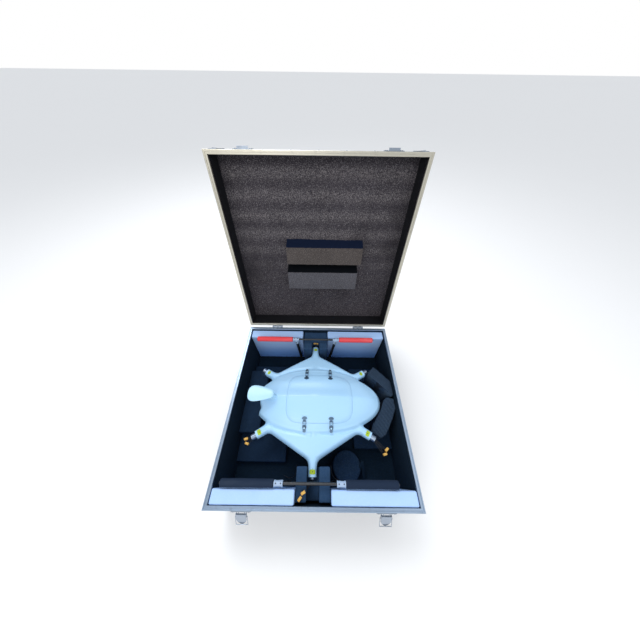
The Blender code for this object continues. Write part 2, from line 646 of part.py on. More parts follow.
def toggle(k, x, side, mats):
    frame = latch_frame(x, side)
    name = f"hull_latch_{k}"
    wide = Vector((1, 0, 0))
    base = cube(name + "_base", (-0.0062, LATCH_PIN.y + 0.0005, 0.0003), (0.0062, LATCH_PIN.y + 0.0250, 0.0016))
    ears = []
    for sign in (-1, 1):
        inside, outside = sorted((sign * 0.0043, sign * 0.0055))
        ears.append(cube(f"{name}_ear{sign}", (inside, LATCH_PIN.y - 0.0004, 0.0006),
                         (outside, LATCH_PIN.y + 0.0050, LATCH_PIN.z)))
        ears.append(rod(f"{name}_boss{sign}", LATCH_PIN + inside * wide, LATCH_PIN + outside * wide, 0.0017, FINE))
    ears.append(rod(name + "_pin", LATCH_PIN - 0.0054 * wide, LATCH_PIN + 0.0054 * wide, 0.0009, FINE))
    for tool in ears:
        placed(tool, frame)
    finish(join(placed(base, frame), *ears), mats["steel"])

    swing = pivot(name + "_lever_pivot", frame @ LATCH_PIN, frame.to_quaternion().to_matrix().to_4x4())
    lever = rod(name + "_lever", -0.0040 * wide, 0.0040 * wide, 0.0020, FINE, parent=swing)
    blade = [(-0.0039, -0.0030), (-0.0039, 0.0062), (-0.0068, 0.0085), (-0.0066, 0.0150), (-0.0046, 0.0250),
             (0.0046, 0.0250), (0.0066, 0.0150), (0.0068, 0.0085), (0.0039, 0.0062), (0.0039, -0.0030)]
    join(
        lever,
        slab(name + "_blade", blade, 0.0007, swing),
        cube(name + "_horn", (-0.0035, -0.0044, -0.0005), (0.0035, -0.0033, 0.0031), swing),
        cube(name + "_horn_arm", (-0.0035, -0.0042, -0.0006), (0.0035, 0.0, 0.0006), swing),
    )
    cut(lever, rod(name + "_lever_bore", -0.006 * wide, 0.006 * wide, 0.00098, FINE, parent=swing))
    finish(lever, mats["steel"])

    hang = pivot(name + "_bail_pivot", frame @ BAIL_PIN, frame.to_quaternion().to_matrix().to_4x4())
    to = CROSS - BAIL_PIN
    bail = rod(name + "_bail", to - 0.0079 * wide, to + 0.0079 * wide, 0.0010, WIRE, parent=hang)
    arms = []
    for sign in (-1, 1):
        middle = to / 2 + sign * 0.0070 * wide
        arm = cube(f"{name}_arm{sign}", (-0.0009, -to.length / 2, -0.0010), (0.0009, to.length / 2, 0.0010), hang)
        tilt = Matrix.Rotation(math.atan2(to.z, to.y), 4, "X")
        arm.matrix_basis = Matrix.Translation(middle) @ tilt
        eye = rod(f"{name}_eye{sign}", sign * 0.0061 * wide, sign * 0.0079 * wide, 0.0019, FINE, parent=hang)
        arms += [arm, eye]
    join(bail, *arms)
    cut(bail, rod(name + "_bail_bore", -0.01 * wide, 0.01 * wide, 0.00098, FINE, parent=hang))
    finish(bail, mats["steel"])


# ---------------------------------------------------------------- landing gear
def skid(end, y, z, tube, tees, floats, lean, mats):
    """A stowed T of landing gear: cross tube, two legs in tees, two foam floats."""
    axis = Vector((0, y, z))
    wide = Vector((1, 0, 0))
    finish(rod(f"skid_{end}_tube", axis + tube[0] * wide, axis + tube[1] * wide, TUBE_R, ROUND), mats["carbon"])
    for side, x, shift in (("left", tees[0], lean[0]), ("right", tees[1], lean[1])):
        name = f"skid_{end}_leg_{side}"
        tee = rod(name, axis + (x - TEE_L / 2) * wide, axis + (x + TEE_L / 2) * wide, TEE_R, ROUND)
        foot = Vector((x + shift, y, LEG_BOTTOM))
        join(tee, rod(name + "_shaft", Vector((x, y, z)), foot, LEG_R, ROUND))
        cut(tee, rod(name + "_bore", axis + (x - TEE_L) * wide, axis + (x + TEE_L) * wide, TUBE_R + GAP, ROUND))
        finish(tee, mats["tee"])
    for side, (start, stop) in (("left", floats[0]), ("right", floats[1])):
        name = f"skid_{end}_float_{side}"
        sleeve = rod(name, axis + start * wide, axis + stop * wide, FLOAT_R, ROUND)
        bore = rod(name + "_bore", axis + (start - 0.01) * wide, axis + (stop + 0.01) * wide, TUBE_R + GAP, ROUND)
        finish(cut(sleeve, bore), mats["float_red" if end == "rear" else "float_black"])


def materials():
    return {
        "laminate": paint("laminate", (0.03, 0.03, 0.035), 0.5),
        "aluminium": paint("aluminium", (0.72, 0.74, 0.78), 0.32, 1.0),
        "steel": paint("steel", (0.42, 0.43, 0.45), 0.35, 1.0),
        "foam": paint("foam", (0.018, 0.020, 0.026), 0.95),
        "lid_foam": paint("lid_foam", (0.09, 0.08, 0.08), 0.95),
        "wedge_foam": paint("wedge_foam", (0.05, 0.05, 0.06), 0.95),
        "white_box": paint("white_box", (0.75, 0.80, 0.92), 0.6),
        "hull": paint("hull", (0.72, 0.82, 0.95), 0.35),
        "pod": paint("pod", (0.90, 0.95, 0.98), 0.4),
        "battery": paint("battery", (0.05, 0.06, 0.09), 0.5),
        "electronics": paint("electronics", (0.10, 0.10, 0.11), 0.5),
        "carbon": paint("carbon", (0.02, 0.02, 0.022), 0.4),
        "tee": paint("tee", (0.60, 0.64, 0.70), 0.4),
        "float_red": paint("float_red", (0.90, 0.09, 0.09), 0.8),
        "float_black": paint("float_black", (0.02, 0.02, 0.025), 0.9),
    }


def main():
    clear_scene()
    mats = materials()
    hinge = pivot("lid_pivot", Vector((0, PIN_Y, PIN_Z)), Matrix.Rotation(-LID_OPEN, 4, "X"))
    case_tray(mats)
    case_liner(mats)
    lid(mats, hinge)
    hinges(mats, hinge)
    for side, x in (("left", -LATCH_X), ("right", LATCH_X)):
        draw_latch(side, x, hinge, mats)
    white_boxes(mats)
    cradles(mats)
    wedges(mats)
    hull(mats)
    sockets(mats)
    gps_pod(mats)
    avionics(mats)
    for k, x, side in hull_latches():
        toggle(k, x, side, mats)
    skid("rear", 0.3190, RIM_Z + 0.002, (-0.345, 0.317), (-0.1225, 0.1045),
         ((-0.341, -0.141), (0.1225, 0.313)), (0.018, -0.026), mats)
    skid("front", -0.3250, RIM_Z + 0.0, (-0.361, 0.324), (-0.1370, 0.1030),
         ((-0.357, -0.1555), (0.1205, 0.320)), (0.024, -0.024), mats)


main()
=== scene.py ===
"""Looks of a six-arm multirotor stowed in its open flight case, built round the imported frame.

Metres, +Z up, +X towards the aircraft's nose, +Y towards the lid hinges.
"""

import json
import math

import bmesh
import bpy
from mathutils import Matrix, Vector, noise


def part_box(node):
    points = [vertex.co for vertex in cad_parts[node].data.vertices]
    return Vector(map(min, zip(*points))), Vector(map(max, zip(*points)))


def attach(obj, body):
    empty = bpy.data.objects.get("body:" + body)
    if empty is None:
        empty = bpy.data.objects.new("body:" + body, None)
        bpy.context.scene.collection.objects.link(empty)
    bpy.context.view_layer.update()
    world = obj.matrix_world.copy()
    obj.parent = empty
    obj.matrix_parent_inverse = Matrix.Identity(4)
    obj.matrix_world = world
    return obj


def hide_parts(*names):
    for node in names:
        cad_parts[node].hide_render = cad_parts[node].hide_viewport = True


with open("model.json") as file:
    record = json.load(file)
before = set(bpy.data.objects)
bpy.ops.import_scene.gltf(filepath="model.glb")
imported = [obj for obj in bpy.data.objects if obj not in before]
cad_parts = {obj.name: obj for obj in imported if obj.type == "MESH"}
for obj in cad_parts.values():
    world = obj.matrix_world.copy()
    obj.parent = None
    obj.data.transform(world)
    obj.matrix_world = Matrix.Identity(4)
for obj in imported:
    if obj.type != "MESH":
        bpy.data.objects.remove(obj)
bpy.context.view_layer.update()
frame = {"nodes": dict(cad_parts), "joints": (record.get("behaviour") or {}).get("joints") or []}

# ---------------------------------------------------------------- driving sizes, from the frame
TRAY_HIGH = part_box("case_tray")[1]
RIM_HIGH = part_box("case_rim")[1]
RIM_Z = RIM_HIGH.z
HALF_X, HALF_Y = TRAY_HIGH.x, TRAY_HIGH.y
FACE_X, FACE_Y = RIM_HIGH.x, RIM_HIGH.y
JOINTS = {joint["name"]: joint for joint in frame["joints"]}
PIN = Vector(JOINTS["lid_hinge"]["pos_m"])
LID_OPEN = math.radians(-JOINTS["lid_hinge"]["range_deg"][0])
LID = Matrix.Translation(PIN) @ Matrix.Rotation(-LID_OPEN, 4, "X") @ Matrix.Translation(-PIN)
REAR_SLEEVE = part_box("arm_socket_2")
HUB = Vector(((REAR_SLEEVE[0].x + REAR_SLEEVE[1].x) / 2, 0, (REAR_SLEEVE[0].z + REAR_SLEEVE[1].z) / 2))
WALL, SKIN_GAP, LINER = 0.009, 0.0003, 0.004
LID_FACE = RIM_Z + 0.0008
LID_TOP = LID_FACE + 0.100
UP = Vector((0, 0, 1))
WIDE = Vector((1, 0, 0))
LID_WAY = LID.to_3x3() @ Vector((0, 1, 0))
LID_RIPPLE = 0.078
CORNER_OUT, ANGLE_OUT, RIM_SKIRT = 0.0032, 0.0012, 0.0225


# ---------------------------------------------------------------- materials
class Paint:
    """A Principled material built up in layers of procedural detail, in object coordinates."""

    def __init__(self, slot, name, colour, rough, metal=0.0):
        self.slot = slot
        self.mat = bpy.data.materials.new(name)
        self.mat.use_nodes = True
        self.shader = self.mat.node_tree.nodes["Principled BSDF"]
        self.shader.inputs["Metallic"].default_value = metal
        self.shader.inputs["Roughness"].default_value = rough
        self.where = self.add("ShaderNodeTexCoord").outputs["Object"]
        base = self.add("ShaderNodeRGB").outputs[0]
        base.default_value = (*colour, 1)
        self.paint(base)
        self.normal = None

    def add(self, kind, **values):
        node = self.mat.node_tree.nodes.new(kind)
        for key, value in values.items():
            setattr(node, key, value)
        return node

    def link(self, source, target):
        self.mat.node_tree.links.new(source, target)

    def paint(self, colour):
        self.colour = colour
        self.link(colour, self.shader.inputs["Base Color"])

    def math(self, operation, a, b=None):
        node = self.add("ShaderNodeMath", operation=operation)
        for socket, value in zip(node.inputs, (a, b)):
            if isinstance(value, (int, float)):
                socket.default_value = value
            elif value is not None:
                self.link(value, socket)
        return node.outputs[0]

    def stretched(self, stretch):
        node = self.add("ShaderNodeVectorMath", operation="MULTIPLY")
        self.link(self.where, node.inputs[0])
        node.inputs[1].default_value = stretch
        return node.outputs[0]

    def grain(self, scale, detail=3.0, stretch=None):
        """Noise with scale cells to a metre, 0 to 1."""
        node = self.add("ShaderNodeTexNoise")
        self.link(self.stretched(stretch) if stretch else self.where, node.inputs["Vector"])
        node.inputs["Scale"].default_value = scale
        node.inputs["Detail"].default_value = detail
        return node.outputs["Fac"]

    def cells(self, scale, stretch=None):
        """Distance to the nearest of scattered points, scale cells to a metre."""
        node = self.add("ShaderNodeTexVoronoi")
        self.link(self.stretched(stretch) if stretch else self.where, node.inputs["Vector"])
        node.inputs["Scale"].default_value = scale
        return node.outputs["Distance"]

    def reach(self, way):
        """Distance along a direction."""
        dot = self.add("ShaderNodeVectorMath", operation="DOT_PRODUCT")
        self.link(self.where, dot.inputs[0])
        dot.inputs[1].default_value = way
        return dot.outputs["Value"]

    def stripes(self, across, period, wander=0.0, start=0.0):
        """Bands square to the direction across, 0 to 1."""
        phase = self.math("MULTIPLY", self.math("ADD", self.reach(across), start), math.tau / period)
        if wander:
            phase = self.math("ADD", phase, self.math("MULTIPLY", self.grain(9, 2), wander))
        return self.math("MULTIPLY", self.math("ADD", self.math("SINE", phase), 1.0), 0.5)

    def window(self, value, low, high):
        """Eases value from 0 at low to 1 at high."""
        node = self.add("ShaderNodeMapRange", interpolation_type="SMOOTHSTEP")
        self.link(value, node.inputs["Value"])
        node.inputs["From Min"].default_value = low
        node.inputs["From Max"].default_value = high
        return node.outputs["Result"]

    def height(self):
        split = self.add("ShaderNodeSeparateXYZ")
        self.link(self.where, split.inputs[0])
        return split.outputs["Z"]

    def tint(self, mask, colour, share=1.0):
        node = self.add("ShaderNodeMix", data_type="RGBA")
        self.link(self.math("MULTIPLY", mask, share), node.inputs["Factor"])
        self.link(self.colour, node.inputs["A"])
        node.inputs["B"].default_value = (*colour, 1)
        self.paint(node.outputs["Result"])
        return self

    def gloss(self, mask, low, high):
        node = self.add("ShaderNodeMapRange")
        self.link(mask, node.inputs["Value"])
        node.inputs["To Min"].default_value = low
        node.inputs["To Max"].default_value = high
        self.link(node.outputs["Result"], self.shader.inputs["Roughness"])
        return self

    def bump(self, mask, depth, strength=1.0):
        node = self.add("ShaderNodeBump")
        node.inputs["Distance"].default_value = depth
        node.inputs["Strength"].default_value = strength
        self.link(mask, node.inputs["Height"])
        if self.normal:
            self.link(self.normal, node.inputs["Normal"])
        self.normal = node.outputs["Normal"]
        self.link(self.normal, self.shader.inputs["Normal"])
        return self

    def sheen(self, weight, rough=0.5):
        self.shader.inputs["Sheen Weight"].default_value = weight
        self.shader.inputs["Sheen Roughness"].default_value = rough
        return self

    def coat(self, weight, rough=0.15):
        self.shader.inputs["Coat Weight"].default_value = weight
        self.shader.inputs["Coat Roughness"].default_value = rough
        return self


def foam(slot, name, colour, light, size, speckle=0.35, rough=0.95):
    """Cut foam: closed cells, speckle where cells catch the light, and slow mottling."""
    it = Paint(slot, name, colour, rough)
    it.shader.inputs["Specular IOR Level"].default_value = 0.12
    it.tint(it.window(it.grain(7, 3), 0.35, 0.75), [c * 1.5 for c in colour], 0.6)
    it.tint(it.window(it.grain(size, 2), 0.50, 0.66), light, speckle)
    it.tint(it.window(it.cells(size * 0.8), 0.30, 0.08), [c * 0.35 for c in colour], 0.55)
    it.bump(it.grain(size * 0.7, 3), 0.0012, 0.8)
    it.bump(it.cells(size * 0.45), 0.0008, 0.5)
    return it


def metal(slot, name, colour, rough, brush, grime=(0.10, 0.10, 0.11)):
    """Drawn or brushed metal with handling marks and a little grime."""
    it = Paint(slot, name, colour, rough, 1.0)
    fine = it.grain(420, 2, brush)
    it.gloss(fine, rough * 0.75, min(rough * 1.5, 1))
    it.tint(it.window(it.grain(38, 4), 0.55, 0.80), grime, 0.28)
    it.tint(it.window(it.grain(160, 2, brush), 0.60, 0.72), [min(c * 1.3, 1) for c in colour], 0.35)
    return it.bump(fine, 0.00012, 0.5)


def gelcoat(slot, name, colour, shade, rough):
    """Satin white lacquer on moulded composite, with faint orange peel and soft marks."""
    it = Paint(slot, name, colour, rough)
    it.tint(it.window(it.grain(5, 3), 0.40, 0.75), shade, 0.35)
    it.tint(it.window(it.grain(70, 4), 0.62, 0.78), [c * 0.8 for c in shade], 0.18)
    it.gloss(it.grain(45, 4), rough * 0.8, rough * 1.3)
    it.bump(it.grain(260, 2), 0.00025, 0.25)
    return it.coat(0.25, 0.2)


def lid_sheet_paint():
    """Speckled grey-brown foam, with a painted highlight on the crests of its ripples."""
    it = foam("lid_foam", "lid_foam", (0.034, 0.0300, 0.036), (0.25, 0.23, 0.24), 330, 0.55)
    start = PIN.y - PIN.dot(LID_WAY)
    near = it.window(it.math("ADD", it.reach(LID_WAY), start), 0.22, -0.12)
    # painted highlight: lighter bands along the ripple crests, fading out towards the hinge
    crest_highlight = it.math("MULTIPLY", it.stripes(LID_WAY, LID_RIPPLE, 0.5, start - LID_RIPPLE / 2), near)
    grit = it.window(it.grain(260, 3), 0.42, 0.68)
    it.tint(it.math("MULTIPLY", crest_highlight, grit), (0.40, 0.365, 0.36), 0.36)
    it.tint(it.window(it.grain(4, 3), 0.5, 0.8), (0.016, 0.014, 0.017), 0.6)
    return it


def block_paint(name, front, light, top):
    """A cut block: speckled where it was sawn, its side that faces the lid's free edge in the colour top,
    which on the lower block is painted shade.
    """
    it = foam("lid_foam", name, front, light, 420, 0.5)
    # the side facing the lid's free edge takes the colour top: painted shade on the lower block, a dark navy
    # on the upper
    facing = it.add("ShaderNodeNewGeometry").outputs["Normal"]
    dot = it.add("ShaderNodeVectorMath", operation="DOT_PRODUCT")
    it.link(facing, dot.inputs[0])
    dot.inputs[1].default_value = -LID_WAY
    return it.tint(it.window(dot.outputs["Value"], 0.55, 0.80), top)


def make_paints():
    painted_shade_black, dark_grime = (0.002, 0.003, 0.005), (0.02, 0.02, 0.025)
    along_y, along_x, along_z = (1, 0.03, 1), (0.05, 1, 1), (1, 1, 0.1)
    paints = {
        "tray_foam": foam("foam", "tray_foam", (0.0050, 0.0140, 0.0270), (0.022, 0.042, 0.068), 420, 0.35),
        "post_foam": foam("foam", "post_foam", (0.018, 0.046, 0.100), (0.070, 0.115, 0.180), 420, 0.40),
        "pad_foam": foam("foam", "pad_foam", (0.0090, 0.0240, 0.0540), (0.045, 0.080, 0.130), 420, 0.45),
        "lid_foam": lid_sheet_paint(),
        "lid_side_foam": foam("lid_foam", "lid_side_foam", (0.010, 0.0100, 0.0125), (0.04, 0.04, 0.043), 420,
                              0.25),
        "block_upper": block_paint("block_upper_foam", (0.062, 0.053, 0.050), (0.24, 0.205, 0.190),
                                   (0.006, 0.012, 0.034)),
        # painted shade: the lower block's side towards the free edge sits in the upper block's shadow, so it
        # is painted near black
        "block_lower": block_paint("block_lower_foam", (0.072, 0.070, 0.080), (0.24, 0.235, 0.255),
                                   painted_shade_black),
        "rim": metal("aluminium", "rim_aluminium", (0.34, 0.43, 0.55), 0.28, along_y),
        "lid_rim": metal("aluminium", "lid_rim_aluminium", (0.60, 0.57, 0.48), 0.30, along_y),
        "edge": metal("aluminium", "edge_aluminium", (0.56, 0.61, 0.69), 0.34, along_x),
        "sleeve": metal("aluminium", "sleeve_aluminium", (0.36, 0.45, 0.57), 0.36, along_z),
        "steel": metal("steel", "bright_steel", (0.34, 0.39, 0.46), 0.26, (0.06, 1, 1)),
        "dark_steel": metal("steel", "dark_steel", (0.085, 0.095, 0.12), 0.34, (1, 0.06, 1), dark_grime),
        "toggle": metal("steel", "toggle_steel", (0.13, 0.20, 0.29), 0.42, (1, 0.06, 1), (0.03, 0.05, 0.08)),
        "hull": gelcoat("hull", "hull_lacquer", (0.42, 0.70, 0.97), (0.36, 0.64, 0.96), 0.36),
        "pod": gelcoat("pod", "pod_lacquer", (0.47, 0.76, 0.97), (0.40, 0.70, 0.95), 0.38),
    }
    laminate = Paint("laminate", "laminate", (0.014, 0.014, 0.016), 0.42)
    laminate.tint(laminate.window(laminate.grain(60, 5), 0.6, 0.8), (0.08, 0.08, 0.085), 0.25)
    laminate.bump(laminate.cells(480), 0.0004, 0.6).gloss(laminate.grain(30, 4), 0.35, 0.6)
    paints["laminate"] = laminate

    card = Paint("white_box", "white_board", (0.42, 0.62, 0.97), 0.62)
    card.tint(card.window(card.grain(6, 3), 0.35, 0.8), (0.34, 0.54, 0.93), 0.5)
    card.tint(card.window(card.grain(240, 2), 0.55, 0.75), (0.60, 0.76, 0.98), 0.25)
    # painted shade: darker and bluer lower down, where the boxes stand in the case's shade
    card.tint(card.window(card.height(), RIM_Z - 0.06, RIM_Z - 0.23), (0.10, 0.34, 0.95), 0.75)
    card.bump(card.grain(330, 2), 0.0003, 0.4)
    paints["card"] = card

    for name, colour, light in (
        ("float_red", (0.84, 0.075, 0.090), (0.92, 0.24, 0.25)),
        ("float_black", (0.012, 0.024, 0.052), (0.040, 0.056, 0.082)),
    ):
        it = Paint(name, name + "_foam", colour, 0.85)
        it.tint(it.window(it.grain(20, 4, (0.2, 1, 1)), 0.5, 0.75), light, 0.45)
        it.tint(it.window(it.grain(330, 2), 0.58, 0.72), [c * 0.5 for c in colour], 0.35)
        it.bump(it.grain(360, 2), 0.0004, 0.6)
        it.shader.inputs["Specular IOR Level"].default_value = 0.2
        paints[name] = it

    carbon = Paint("carbon", "carbon_weave", (0.007, 0.0085, 0.012), 0.42)
    twill = carbon.math("MULTIPLY", carbon.stripes((1, 1, 1), 0.0040), carbon.stripes((1, -1, 1), 0.0040))
    carbon.tint(carbon.window(twill, 0.15, 0.55), (0.026, 0.030, 0.038), 0.8)
    carbon.bump(twill, 0.00015, 0.4).coat(0.25, 0.2)
    paints["carbon"] = carbon

    tee = Paint("tee", "tee_grey", (0.36, 0.48, 0.66), 0.42)
    tee.tint(tee.window(tee.grain(60, 4), 0.5, 0.8), (0.22, 0.30, 0.42), 0.5)
    tee.bump(tee.grain(500, 2), 0.0002, 0.4).gloss(tee.grain(90, 3), 0.32, 0.55)
    paints["tee"] = tee

    # the offcuts show their laminated layers as fine parallel lines
    for name, across in (("wedge_rear", (0.75, 0.66, 0.0)), ("wedge_front", (0.93, -0.37, 0.0))):
        it = foam("wedge_foam", name + "_foam", (0.020, 0.042, 0.082), (0.08, 0.12, 0.18), 420, 0.45)
        lines = it.stripes(across, 0.0056, 1.2)
        it.tint(it.window(lines, 0.55, 0.95), (0.050, 0.078, 0.115), 0.7)
        it.tint(it.window(lines, 0.30, 0.05), (0.006, 0.007, 0.010), 0.75)
        it.bump(lines, 0.0015, 0.6)
        paints[name] = it

    label = Paint("hull", "label_lime", (0.42, 0.58, 0.022), 0.45)
    label.tint(label.window(label.grain(180, 3), 0.5, 0.75), (0.30, 0.42, 0.02), 0.5)
    paints["label"] = label.bump(label.grain(400, 2), 0.0002, 0.3)
    mark = Paint("electronics", "mark_grey", (0.03, 0.035, 0.035), 0.6)
    paints["mark"] = mark.tint(mark.grain(300, 2), (0.07, 0.07, 0.07), 0.6)

    amber = Paint("battery", "connector_amber", (0.80, 0.47, 0.10), 0.38)
    amber.tint(amber.window(amber.grain(200, 3), 0.5, 0.8), (0.50, 0.27, 0.05), 0.5)
    paints["amber"] = amber.bump(amber.grain(500, 2), 0.0002, 0.3)
    paints["gold"] = metal("steel", "contact_gold", (0.90, 0.62, 0.20), 0.25, (1, 1, 0.1), (0.3, 0.2, 0.05))
    wire = Paint("battery", "wire_black", (0.010, 0.010, 0.012), 0.45)
    wire.tint(wire.grain(120, 3), (0.035, 0.035, 0.04), 0.5).bump(wire.grain(350, 2), 0.0003, 0.4)
    paints["wire"] = wire
    sleeve = Paint("battery", "cell_sleeve", (0.016, 0.020, 0.034), 0.30)
    sleeve.tint(sleeve.window(sleeve.grain(30, 3), 0.5, 0.8), (0.05, 0.06, 0.09), 0.5)
    paints["cells"] = sleeve.bump(sleeve.grain(80, 4), 0.0006, 0.5).coat(0.3)
    moulded = Paint("electronics", "moulded_black", (0.020, 0.020, 0.023), 0.5)
    moulded.tint(moulded.window(moulded.grain(90, 4), 0.55, 0.8), (0.06, 0.06, 0.065), 0.4)
    paints["moulded"] = moulded.bump(moulded.grain(600, 2), 0.0002, 0.5)
    strap = Paint("battery", "strap_weave", (0.018, 0.018, 0.022), 0.9)
    weave = strap.math("MULTIPLY", strap.stripes((1, 0, 0), 0.0012), strap.stripes((0, 1, 1), 0.0012))
    paints["strap"] = strap.tint(weave, (0.07, 0.07, 0.08), 0.7).bump(weave, 0.0003, 0.8).sheen(0.2)
    return paints


PAINTS = make_paints()


# ---------------------------------------------------------------- mesh tools
def piece(name, bm, body, paint, crisp=32, replaces=(), soft=0.0):
    """Turns a bmesh into a piece that rides on a body; soft rounds its sharp edges."""
    bmesh.ops.recalc_face_normals(bm, faces=bm.faces)
    mesh = bpy.data.meshes.new(name)
    bm.to_mesh(mesh)
    bm.free()
    mesh.materials.append(PAINTS[paint].mat)
    mesh.shade_smooth()
    mesh.set_sharp_from_angle(angle=math.radians(crisp))
    obj = bpy.data.objects.new(name, mesh)
    bpy.context.scene.collection.objects.link(obj)
    if soft:
        rounded(obj, soft)
    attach(obj, body)
    if replaces:
        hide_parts(*replaces)
    return obj


def rounded(obj, width, segments=2):
    step = obj.modifiers.new("edges", "BEVEL")
    step.width, step.segments, step.limit_method = width, segments, "ANGLE"
    step.angle_limit = math.radians(40)
    step.harden_normals = True
    return obj


def skin(bm, rings, closed=False):
    """Joins neighbouring rings of points: a closed skin joins its ends, an open one is capped."""
    rows = [[bm.verts.new(p) for p in ring] for ring in rings]
    pairs = list(zip(rows, rows[1:]))
    if closed:
        pairs.append((rows[-1], rows[0]))
    count = len(rows[0])
    for now, after in pairs:
        for i in range(count):
            j = (i + 1) % count
            bm.faces.new((now[i], now[j], after[j], after[i]))
    if not closed:
        bm.faces.new(rows[0][::-1])
        bm.faces.new(rows[-1])
    return bm


def circle(radius, height, sides):
    turns = [math.tau * i / sides for i in range(sides)]
    return [Vector((radius * math.cos(t), radius * math.sin(t), height)) for t in turns]


def turned(bm, profile, place=Matrix(), sides=32, closed=False):
    """Turns (radius, height) points about the Z of place; a closed profile makes a hollow piece."""
    return skin(bm, [[place @ p for p in circle(r, h, sides)] for r, h in profile], closed)


def along(start, end):
    """Frame at start with its Z towards end."""
    start, end = Vector(start), Vector(end)
    return Matrix.Translation(start) @ (end - start).to_track_quat("Z", "Y").to_matrix().to_4x4()


def rod(bm, start, end, radius, sides=24, chamfer=0.0006):
    length = (Vector(end) - Vector(start)).length
    c = min(chamfer, radius * 0.4, length * 0.3)
    profile = [(radius - c, 0), (radius, c), (radius, length - c), (radius - c, length)]
    return turned(bm, profile, along(start, end), sides)


def pipe(bm, start, end, outer, inner, sides=32, chamfer=0.0006):
    length = (Vector(end) - Vector(start)).length
    c = min(chamfer, (outer - inner) * 0.4)
    profile = [(inner, 0), (outer - c, 0), (outer, c), (outer, length - c), (outer - c, length)]
    return turned(bm, profile + [(inner, length)], along(start, end), sides, True)


def prism(bm, outline, depth, place=Matrix()):
    """A flat outline in the place's XY, given depth along its Z."""
    return skin(bm, [[place @ Vector((x, y, z)) for x, y in outline] for z in (0, depth)])


def box(bm, corner, opposite, place=Matrix()):
    (x0, x1), (y0, y1), (z0, z1) = (sorted(pair) for pair in zip(corner, opposite))
    outline = [(x0, y0), (x1, y0), (x1, y1), (x0, y1)]
    return prism(bm, outline, z1 - z0, place @ Matrix.Translation((0, 0, z0)))


def stations(low, high, radius, cell):
    """Grid lines along one side of a block, with one half way round each rolled edge."""
    count = max(int((high - low - 2 * radius) / cell), 1)
    step = (high - low - 2 * radius) / count
    middle = [low + radius + i * step for i in range(count + 1)]
    half_turned = 0.586
    near, far = [low, low + half_turned * radius], [high - half_turned * radius, high]
    return near + middle + far


def block(bm, low, high, radius, cell=0.02, rough=0.0, place=Matrix(), shape=None):
    """A block with rolled edges and an even grid, its faces a little uneven; shape may move its points."""
    lines = [stations(low[i], high[i], radius, cell) for i in range(3)]
    sizes = [len(line) - 1 for line in lines]
    verts = {}

    def vertex(index):
        if index not in verts:
            p = Vector(lines[a][index[a]] for a in range(3))
            inner = Vector(min(max(p[a], low[a] + radius), high[a] - radius) for a in range(3))
            if (p - inner).length > 1e-9:
                p = inner + (p - inner).normalized() * radius
            if rough:
                p += noise.noise_vector(p * 38) * rough + noise.noise_vector(p * 190) * rough * 0.35
            verts[index] = bm.verts.new(place @ (shape(p) if shape else p))
        return verts[index]

    for axis in range(3):
        u, v = (axis + 1) % 3, (axis + 2) % 3
        for side in (0, sizes[axis]):
            for i in range(sizes[u]):
                for j in range(sizes[v]):
                    corners = []
                    for du, dv in ((0, 0), (1, 0), (1, 1), (0, 1)):
                        index = [0, 0, 0]
                        index[axis], index[u], index[v] = side, i + du, j + dv
                        corners.append(vertex(tuple(index)))
                    bm.faces.new(corners)
    return bm


def eased(points, steps=8):
    """Catmull-Rom curve through the points."""
    points = [Vector(p) for p in points]
    ends = [2 * points[0] - points[1]] + points + [2 * points[-1] - points[-2]]
    path = []
    for a, b, c, d in zip(ends, ends[1:], ends[2:], ends[3:]):
        for k in range(steps):
            t = k / steps
            path.append(0.5 * (2 * b + (c - a) * t + (2 * a - 5 * b + 4 * c - d) * t**2
                               + (3 * b - a - 3 * c + d) * t**3))
    return path + [points[-1]]


def sweep(bm, path, radius, sides=10):
    """A round wire along a path."""
    rings = []
    normal = (path[1] - path[0]).orthogonal().normalized()
    for i, p in enumerate(path):
        way = (path[min(i + 1, len(path) - 1)] - path[max(i - 1, 0)]).normalized()
        normal = (normal - way * normal.dot(way)).normalized()
        side = way.cross(normal)
        turns = [math.tau * k / sides for k in range(sides)]
        rings.append([p + radius * (math.cos(t) * normal + math.sin(t) * side) for t in turns])
    return skin(bm, rings)


def mitred(bm, profile, half_x, half_y, place=Matrix()):
    """Runs a closed (inset, height) profile round a rectangle with mitred corners."""
    rings = []
    for sx, sy in ((-1, -1), (1, -1), (1, 1), (-1, 1)):
        rings.append([place @ Vector((sx * (half_x - d), sy * (half_y - d), z)) for d, z in profile])
    return skin(bm, rings, True)


def rivet(bm, at, way, radius=0.0028, height=0.0012, sides=16):
    crown = [(radius, height * 0.35), (radius * 0.8, height * 0.75), (radius * 0.4, height)]
    return turned(bm, [(radius, -0.0006)] + crown, along(at, Vector(at) + Vector(way)), sides)


def screw(bm, at, way, radius=0.0030):
    """Pan head with a recessed cross."""
    place = along(at, Vector(at) + Vector(way))
    turned(bm, [(radius, -0.0006), (radius, 0.0004), (radius * 0.85, 0.0011), (radius * 0.55, 0.0014),
                (radius * 0.5, 0.0009)], place, 20)
    return bm


def foam_copy(name, node, paint, body, voxel=0.004, amount=0.0008):
    """A soft version of a CAD solid: its corners eased and its faces a little uneven."""
    obj = bpy.data.objects.new(name, frame["nodes"][node].data.copy())
    bpy.context.scene.collection.objects.link(obj)
    grid = obj.modifiers.new("grid", "REMESH")
    grid.mode, grid.voxel_size = "VOXEL", voxel
    ease = obj.modifiers.new("ease", "SMOOTH")
    ease.factor, ease.iterations = 0.5, 4
    graph = bpy.context.evaluated_depsgraph_get()
    mesh = bpy.data.meshes.new_from_object(obj.evaluated_get(graph))
    bpy.data.objects.remove(obj)
    bm = bmesh.new()
    bm.from_mesh(mesh)
    for v in bm.verts:
        v.co += v.normal * amount * (noise.noise(v.co * 45) + 0.5 * noise.noise(v.co * 160))
    for face in bm.faces:
        face.material_index = 0
    return piece(name, bm, body, paint, 80, (node,))


